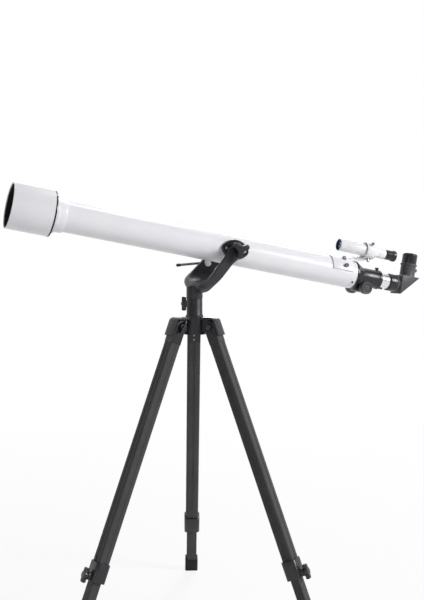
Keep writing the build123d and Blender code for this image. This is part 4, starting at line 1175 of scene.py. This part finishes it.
@dataclass
class Studio:
    """Plain white sweep, soft light and the camera of the picture."""

    azimuth: float = -21.2
    distance: float = 2.024
    camera_height: float = 0.7688
    focal_px: float = 928.0
    sensor: float = 36.0
    horizon_row: float = 255.0
    pivot_column: float = 229.0
    floor_r: float = 6.0
    floor_grey: float = 0.9
    floor_fade: Span = (0.6, 2.4)  # metres
    floor_share: Span = (0.86, 1.0)
    ambient: float = 0.18  # strength of the surroundings as a light
    room: float = 0.40  # strength of the camera's side in a reflection
    room_turn: Span = (-0.1, 0.6)  # from across to the camera's side
    lamps: tuple[Lamp, ...] = (
        Lamp("key", (3.3, -3.3, 2.6), 1.6, 205.0),
        Lamp("side", (-2.4, -2.6, 0.6), 0.8, 7.0),
        Lamp("top", (0.8, 0.9, 2.9), 0.5, 16.0),
        Lamp("back", (1.8, 3.4, 2.2), 1.4, 70.0),
    )

    def build(self) -> None:
        """Sets up floor, world, lamps and camera."""
        bpy.context.scene.view_settings.view_transform = "Standard"
        self._floor()
        self._world()
        for lamp in self.lamps:
            lamp.hang()
        self._camera()

    def _floor(self) -> None:
        """Lays the pale floor; it fades into the white background away from the object."""
        shape = bmesh.new()
        bmesh.ops.create_circle(shape, cap_ends=True, segments=MIDDLE_ROUND, radius=self.floor_r)
        mesh = bpy.data.meshes.new("floor")
        shape.to_mesh(mesh)
        shape.free()
        floor = add("floor", mesh)
        made = bpy.data.materials.new("pale_floor")
        made.use_nodes = True
        tree = made.node_tree
        tree.nodes.remove(tree.nodes["Principled BSDF"])
        paper = tree.nodes.new("ShaderNodeBsdfDiffuse")
        set_inputs(paper, {"Color": (*[self.floor_grey] * 3, 1.0)})
        glow = tree.nodes.new("ShaderNodeEmission")
        set_inputs(glow, {"Strength": 1.0})
        away = tree.nodes.new("ShaderNodeVectorMath")
        away.operation = "LENGTH"
        place = tree.nodes.new("ShaderNodeTexCoord").outputs["Object"]
        tree.links.new(place, away.inputs[0])
        fade = spread(tree, away.outputs["Value"], self.floor_fade, self.floor_share)
        mix = tree.nodes.new("ShaderNodeMixShader")
        tree.links.new(maths(tree, "MULTIPLY", fade, self._seen(tree)), mix.inputs["Fac"])
        tree.links.new(paper.outputs["BSDF"], mix.inputs[1])
        tree.links.new(glow.outputs["Emission"], mix.inputs[2])
        tree.links.new(mix.outputs["Shader"], tree.nodes["Material Output"].inputs["Surface"])
        mesh.materials.append(made)

    @staticmethod
    def _seen(tree: Tree) -> Socket:
        """Adds the test for rays from the camera, in a gloss or through glass.

        Args:
            tree: Node tree that takes it.

        Returns:
            1 for such a ray, else 0.
        """
        path = tree.nodes.new("ShaderNodeLightPath")
        total = path.outputs["Is Camera Ray"]
        for kind in ("Is Glossy Ray", "Is Transmission Ray"):
            total = maths(tree, "MAXIMUM", total, path.outputs[kind])
        return total

    def _world(self) -> None:
        """Makes the white surroundings, dimmer as a light and on the camera's side of a gloss."""
        world = bpy.data.worlds.new("studio")
        bpy.context.scene.world = world
        world.use_nodes = True
        tree = world.node_tree
        sky = tree.nodes["Background"]
        set_inputs(sky, {"Color": (1.0, 1.0, 1.0, 1.0)})
        turn = math.radians(self.azimuth)
        facing = tree.nodes.new("ShaderNodeVectorMath")
        facing.operation = "DOT_PRODUCT"
        facing.inputs[1].default_value = (math.sin(turn), -math.cos(turn), 0.0)
        place = tree.nodes.new("ShaderNodeTexCoord").outputs["Generated"]
        tree.links.new(place, facing.inputs[0])
        room = spread(tree, facing.outputs["Value"], self.room_turn, (1.0, self.room))
        path = tree.nodes.new("ShaderNodeLightPath").outputs
        gloss = self._blend(tree, path["Is Glossy Ray"], self.ambient, room)
        through = self._blend(tree, path["Is Transmission Ray"], gloss, 1.0)
        level = self._blend(tree, path["Is Camera Ray"], through, 1.0)
        tree.links.new(level, sky.inputs["Strength"])

    @staticmethod
    def _blend(tree: Tree, share: Socket, low: Socket | float, high: Socket | float) -> Socket:
        """Adds a blend of two values.

        Args:
            tree: Node tree that takes it.
            share: Share of the second value.
            low: First value.
            high: Second value.

        Returns:
            The blended value.
        """
        mix = tree.nodes.new("ShaderNodeMix")
        tree.links.new(share, mix.inputs["Factor"])
        for name, value in (("A", low), ("B", high)):
            if isinstance(value, float):
                mix.inputs[name].default_value = value
            else:
                tree.links.new(value, mix.inputs[name])
        return mix.outputs["Result"]

    def _camera(self) -> None:
        """Stands the level camera at the photograph's angle."""
        data = bpy.data.cameras.new("camera")
        data.sensor_fit = "AUTO"
        data.sensor_width = self.sensor
        data.lens = self.focal_px / max(PICTURE_SIZE) * data.sensor_width
        data.shift_y = (self.horizon_row - PICTURE_SIZE[1] / 2) / max(PICTURE_SIZE)
        camera = add("camera", data)
        turn = math.radians(self.azimuth)
        ahead = Vector((-math.sin(turn), math.cos(turn), 0.0))
        right = Vector((math.cos(turn), math.sin(turn), 0.0))
        aside = (self.pivot_column - PICTURE_SIZE[0] / 2) / self.focal_px * self.distance
        pivot = Vector(joint("altitude")["pos_m"])
        camera.location = pivot - ahead * self.distance - right * aside
        camera.location.z = self.camera_height
        camera.rotation_euler = ahead.to_track_quat("-Z", "Y").to_euler()
        bpy.context.scene.camera = camera


def main() -> None:
    """Builds the telescope's pieces in order, then the studio."""
    tube = OpticalTube()
    for assembly in (tube, Focuser(tube), Finder(tube), Mount(), Tripod(), Studio()):
        assembly.build()
        logger.info("built %s", type(assembly).__name__)


if __name__ == "__main__":
    main()
